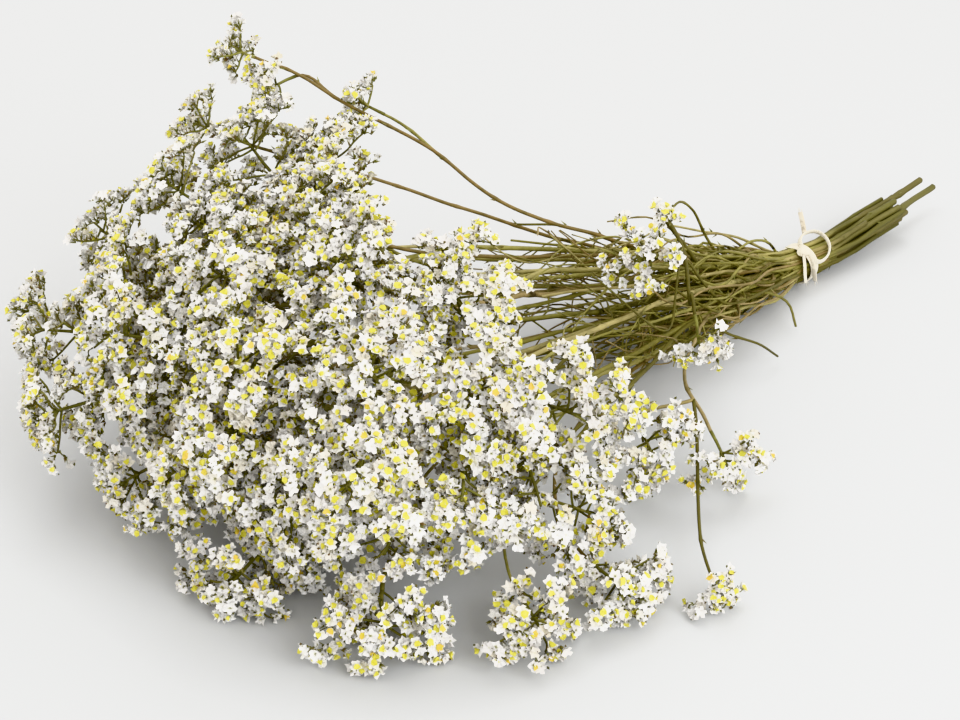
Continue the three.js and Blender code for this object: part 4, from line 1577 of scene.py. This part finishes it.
def blotch_group():
    """Noise in the piece's own space, with its size and how far it is squeezed along each axis."""
    group = bpy.data.node_groups.new("blotches", "ShaderNodeTree")
    scale = group.interface.new_socket("Scale", in_out="INPUT", socket_type="NodeSocketFloat")
    scale.default_value = 100
    axes = group.interface.new_socket("Squeeze", in_out="INPUT", socket_type="NodeSocketVector")
    axes.default_value = (1, 1, 1)
    group.interface.new_socket("Mask", in_out="OUTPUT", socket_type="NodeSocketFloat")
    given = group.nodes.new("NodeGroupInput")
    result = group.nodes.new("NodeGroupOutput")
    coordinates = group.nodes.new("ShaderNodeTexCoord")
    squeeze = group.nodes.new("ShaderNodeVectorMath")
    squeeze.operation = "MULTIPLY"
    noise = group.nodes.new("ShaderNodeTexNoise")
    noise.inputs["Detail"].default_value = 3
    spread = group.nodes.new("ShaderNodeMapRange")
    spread.inputs["From Min"].default_value = 0.3
    spread.inputs["From Max"].default_value = 0.7
    group.links.new(coordinates.outputs["Object"], squeeze.inputs[0])
    group.links.new(given.outputs["Squeeze"], squeeze.inputs[1])
    group.links.new(squeeze.outputs[0], noise.inputs["Vector"])
    group.links.new(given.outputs["Scale"], noise.inputs["Scale"])
    group.links.new(noise.outputs["Fac"], spread.inputs["Value"])
    group.links.new(spread.outputs["Result"], result.inputs["Mask"])
    return group


BLOTCHES = blotch_group()


def blotches(tree, scale, squeeze=(1, 1, 1)):
    """The share of blotches at each place. A larger scale gives smaller ones."""
    node = tree.nodes.new("ShaderNodeGroup")
    node.node_tree = BLOTCHES
    node.inputs["Scale"].default_value = scale
    node.inputs["Squeeze"].default_value = squeeze
    return node.outputs["Mask"]


def new_material(name, roughness, sheen=0.0):
    material = bpy.data.materials.new(name)
    material.use_nodes = True
    shader = material.node_tree.nodes["Principled BSDF"]
    shader.inputs["Roughness"].default_value = roughness
    shader.inputs["Sheen Weight"].default_value = sheen
    return material, material.node_tree, shader


def bump(tree, shader, height, depth):
    """Bump of a real depth in metres."""
    node = tree.nodes.new("ShaderNodeBump")
    node.inputs["Strength"].default_value = 1
    node.inputs["Distance"].default_value = depth
    tree.links.new(height, node.inputs["Height"])
    tree.links.new(node.outputs["Normal"], shader.inputs["Normal"])


def calyx_material():
    """Dry white paper, grey on some and cream to tan on a few old ones, with the same cream to tan as
    painted shade on the flowers inside the head. Greenish at the throat, and at the foot outside, where it
    is partly painted shade.
    """
    material, tree, shader = new_material("papery calyx", roughness=0.62, sheen=0.2)
    bright = (0.93, 0.925, 0.92)
    dull = (0.82, 0.80, 0.78)
    white = mix_colour(tree, bright, dull, blotches(tree, 60))
    grey = (0.70, 0.685, 0.665)
    fresh = (1, 1, 1)
    cream = (0.93, 0.91, 0.86)
    tan = (0.78, 0.74, 0.62)
    # Cream to tan at the top of the tones is age on a few outer flowers and painted shade on the flowers
    # inside the head
    stops = [(0.0, grey), (0.35, fresh), (0.78, fresh), (0.9, cream), (1.0, tan)]
    age_and_depth_shade = ramp(tree, point_number(tree, "tone"), stops)
    paper = tree.nodes.new("ShaderNodeMix")
    paper.data_type = "RGBA"
    paper.blend_type = "MULTIPLY"
    paper.inputs["Factor"].default_value = 1
    tree.links.new(white, paper.inputs[FIRST_COLOUR])
    tree.links.new(age_and_depth_shade, paper.inputs[SECOND_COLOUR])
    stain_and_shade = point_number(tree, "stain_and_shade")
    straw = (0.60, 0.58, 0.34)
    olive = (0.26, 0.25, 0.08)
    brown = (0.10, 0.09, 0.025)
    # This ramp colours the throats with a real stain, and the foot outside partly with painted shade
    throat = ramp(tree, stain_and_shade, [(0.4, straw), (0.85, olive), (1.0, brown)])
    share = ramp(tree, stain_and_shade, [(0.55, (0, 0, 0)), (0.9, (1, 1, 1))])
    tree.links.new(mix_colour(tree, paper.outputs[MIXED_COLOUR], throat, share), shader.inputs["Base Color"])
    bump(tree, shader, blotches(tree, 900), depth=0.0003)
    return material


def petals_material():
    """Crumpled petals, from lemon to a few that have dried orange. Olive at both ends of the tones: at the
    top it is painted shade on the flowers inside the head, and at the bottom a few outer ones are olive.
    Darker olive-yellow blotches are painted shade in the folds.
    """
    material, tree, shader = new_material("dry yellow petals", roughness=0.7, sheen=0.1)
    lemon = (0.82, 0.77, 0.14)
    orange = (0.86, 0.58, 0.10)
    olive = (0.50, 0.48, 0.06)
    fold_shade = (0.52, 0.47, 0.04)
    # Olive at the top of the tones is painted shade on the flowers inside the head
    stops = [(0.0, olive), (0.15, lemon), (0.5, lemon), (0.55, orange), (0.61, orange), (0.66, lemon)]
    stops.append((1.0, olive))
    colour = ramp(tree, point_number(tree, "tone"), stops)
    # Painted shade in the folds: darker olive-yellow in blotches
    deep = mix_colour(tree, colour, fold_shade, blotches(tree, 700))
    tree.links.new(deep, shader.inputs["Base Color"])
    return material


def green_material(name, stops, scale):
    """Dry green stalk, with streaks along it and its own tone on each branch, and painted shade where the
    stain number is set, which is on the stems behind the tie.
    """
    material, tree, shader = new_material(name, roughness=0.72)
    shade = (0.085, 0.075, 0.02)
    tail_shade = (0.075, 0.07, 0.012)
    tone = ramp(tree, point_number(tree, "tone"), stops)
    streaks = blotches(tree, scale, (0.12, 1, 1))
    dark = mix_colour(tree, tone, shade, streaks)
    colour = mix_colour(tree, tone, dark, blotches(tree, scale * 0.3))
    # Painted shade, deeper towards the cut ends of the stems behind the tie
    colour = mix_colour(tree, colour, tail_shade, point_number(tree, "stain_and_shade"))
    tree.links.new(colour, shader.inputs["Base Color"])
    bump(tree, shader, streaks, depth=0.0002)
    return material


def bract_material():
    """Brown and green scales, and buds with a pale tip."""
    material, tree, shader = new_material("dry bract", roughness=0.75)
    dark = (0.06, 0.055, 0.012)
    green = (0.14, 0.14, 0.03)
    brown = (0.13, 0.07, 0.025)
    pale = (0.26, 0.25, 0.09)
    tone = ramp(tree, point_number(tree, "tone"), [(0.0, dark), (0.5, green), (1.0, brown)])
    colour = mix_colour(tree, tone, pale, point_number(tree, "stain_and_shade"))
    tree.links.new(colour, shader.inputs["Base Color"])
    return material


def pith_material():
    """The pale inside of a cut stem."""
    material, tree, shader = new_material("cut pith", roughness=0.85)
    pale = (0.62, 0.58, 0.40)
    brown = (0.38, 0.33, 0.18)
    tree.links.new(mix_colour(tree, pale, brown, blotches(tree, 1500)), shader.inputs["Base Color"])
    return material


def tape_material():
    """Cream cotton tape with a fine weave."""
    material, tree, shader = new_material("cream cotton tape", roughness=0.85, sheen=0.3)
    hollow = (0.78, 0.72, 0.60)
    thread = (0.88, 0.84, 0.74)
    soiled = (0.66, 0.58, 0.45)
    coordinates = tree.nodes.new("ShaderNodeTexCoord")
    weave = tree.nodes.new("ShaderNodeTexWave")
    weave.inputs["Scale"].default_value = 420
    weave.inputs["Distortion"].default_value = 1.2
    tree.links.new(coordinates.outputs["Object"], weave.inputs["Vector"])
    cream = mix_colour(tree, hollow, thread, weave.outputs["Fac"])
    worn = mix_colour(tree, cream, soiled, blotches(tree, 220))
    colour = mix_colour(tree, cream, worn, point_number(tree, "tone"))
    tree.links.new(colour, shader.inputs["Base Color"])
    bump(tree, shader, weave.outputs["Fac"], depth=0.00012)
    return material


def make_materials():
    stem_stops = [
        (0.0, (0.08, 0.066, 0.008)),
        (0.25, (0.19, 0.168, 0.035)),
        (0.5, (0.33, 0.30, 0.09)),
        (0.66, (0.42, 0.36, 0.15)),
        (0.8, (0.22, 0.15, 0.05)),
        (1.0, (0.36, 0.28, 0.13)),
    ]
    twig_stops = [(0.0, (0.10, 0.09, 0.015)), (0.6, (0.20, 0.195, 0.045)), (1.0, (0.32, 0.29, 0.09))]
    return SimpleNamespace(
        calyx=calyx_material(),
        petals=petals_material(),
        stem=green_material("dry stem", stem_stops, 350),
        twig=green_material("dry twig", twig_stops, 500),
        bract=bract_material(),
        pith=pith_material(),
        tape=tape_material(),
    )


# Floor, light and camera


def make_floor():
    floor = new_shape()
    bmesh.ops.create_grid(floor, x_segments=1, y_segments=1, size=FLOOR_HALF)
    mesh = mesh_of(floor, "floor")
    material, _, shader = new_material("pale floor", roughness=0.9)
    shader.inputs["Base Color"].default_value = (*FLOOR_COLOUR, 1)
    mesh.materials.append(material)
    piece = add_object("floor", mesh)


def make_light(name, position, target, size, power):
    """A round softbox."""
    data = bpy.data.lights.new(name, "AREA")
    data.shape = "DISK"
    data.size = size
    data.energy = power
    data.color = LIGHT_COLOUR
    light = add_object(name, data)
    light.location = position
    light.rotation_mode = "QUATERNION"
    light.rotation_quaternion = (Vector(target) - Vector(position)).to_track_quat("-Z", "Y")


def make_world():
    world = bpy.data.worlds.new("studio")
    world.use_nodes = True
    background = world.node_tree.nodes["Background"]
    background.inputs["Color"].default_value = (*WORLD_COLOUR, 1)
    background.inputs["Strength"].default_value = WORLD_STRENGTH
    bpy.context.scene.world = world


def make_camera():
    """The photo's view: from the near side of the head, looking down on it."""
    data = bpy.data.cameras.new("camera")
    data.lens = CAMERA_LENS
    camera = add_object("camera", data)
    camera.location = TO_ROW @ Vector(CAMERA_PLACE)
    camera.rotation_mode = "QUATERNION"
    camera.rotation_quaternion = Vector(CAMERA_AIM).to_track_quat("-Z", "Y")
    bpy.context.scene.camera = camera


def make_studio():
    make_floor()
    make_world()
    for name, values in SOFTBOXES.items():
        make_light(name, *values)
    make_camera()
    bpy.context.scene.view_settings.view_transform = "Khronos PBR Neutral"


def make_bunch():
    stems, sprays = lay_out_bunch()
    materials = make_materials()
    for stem in stems:
        make_stem(stem, materials)
    add_deep_tufts([spray for spray in sprays if not spray.outer])
    for number, spray in enumerate(sprays, start=1):
        make_spray(spray, number, materials)
    make_tie(materials)


make_bunch()
make_studio()
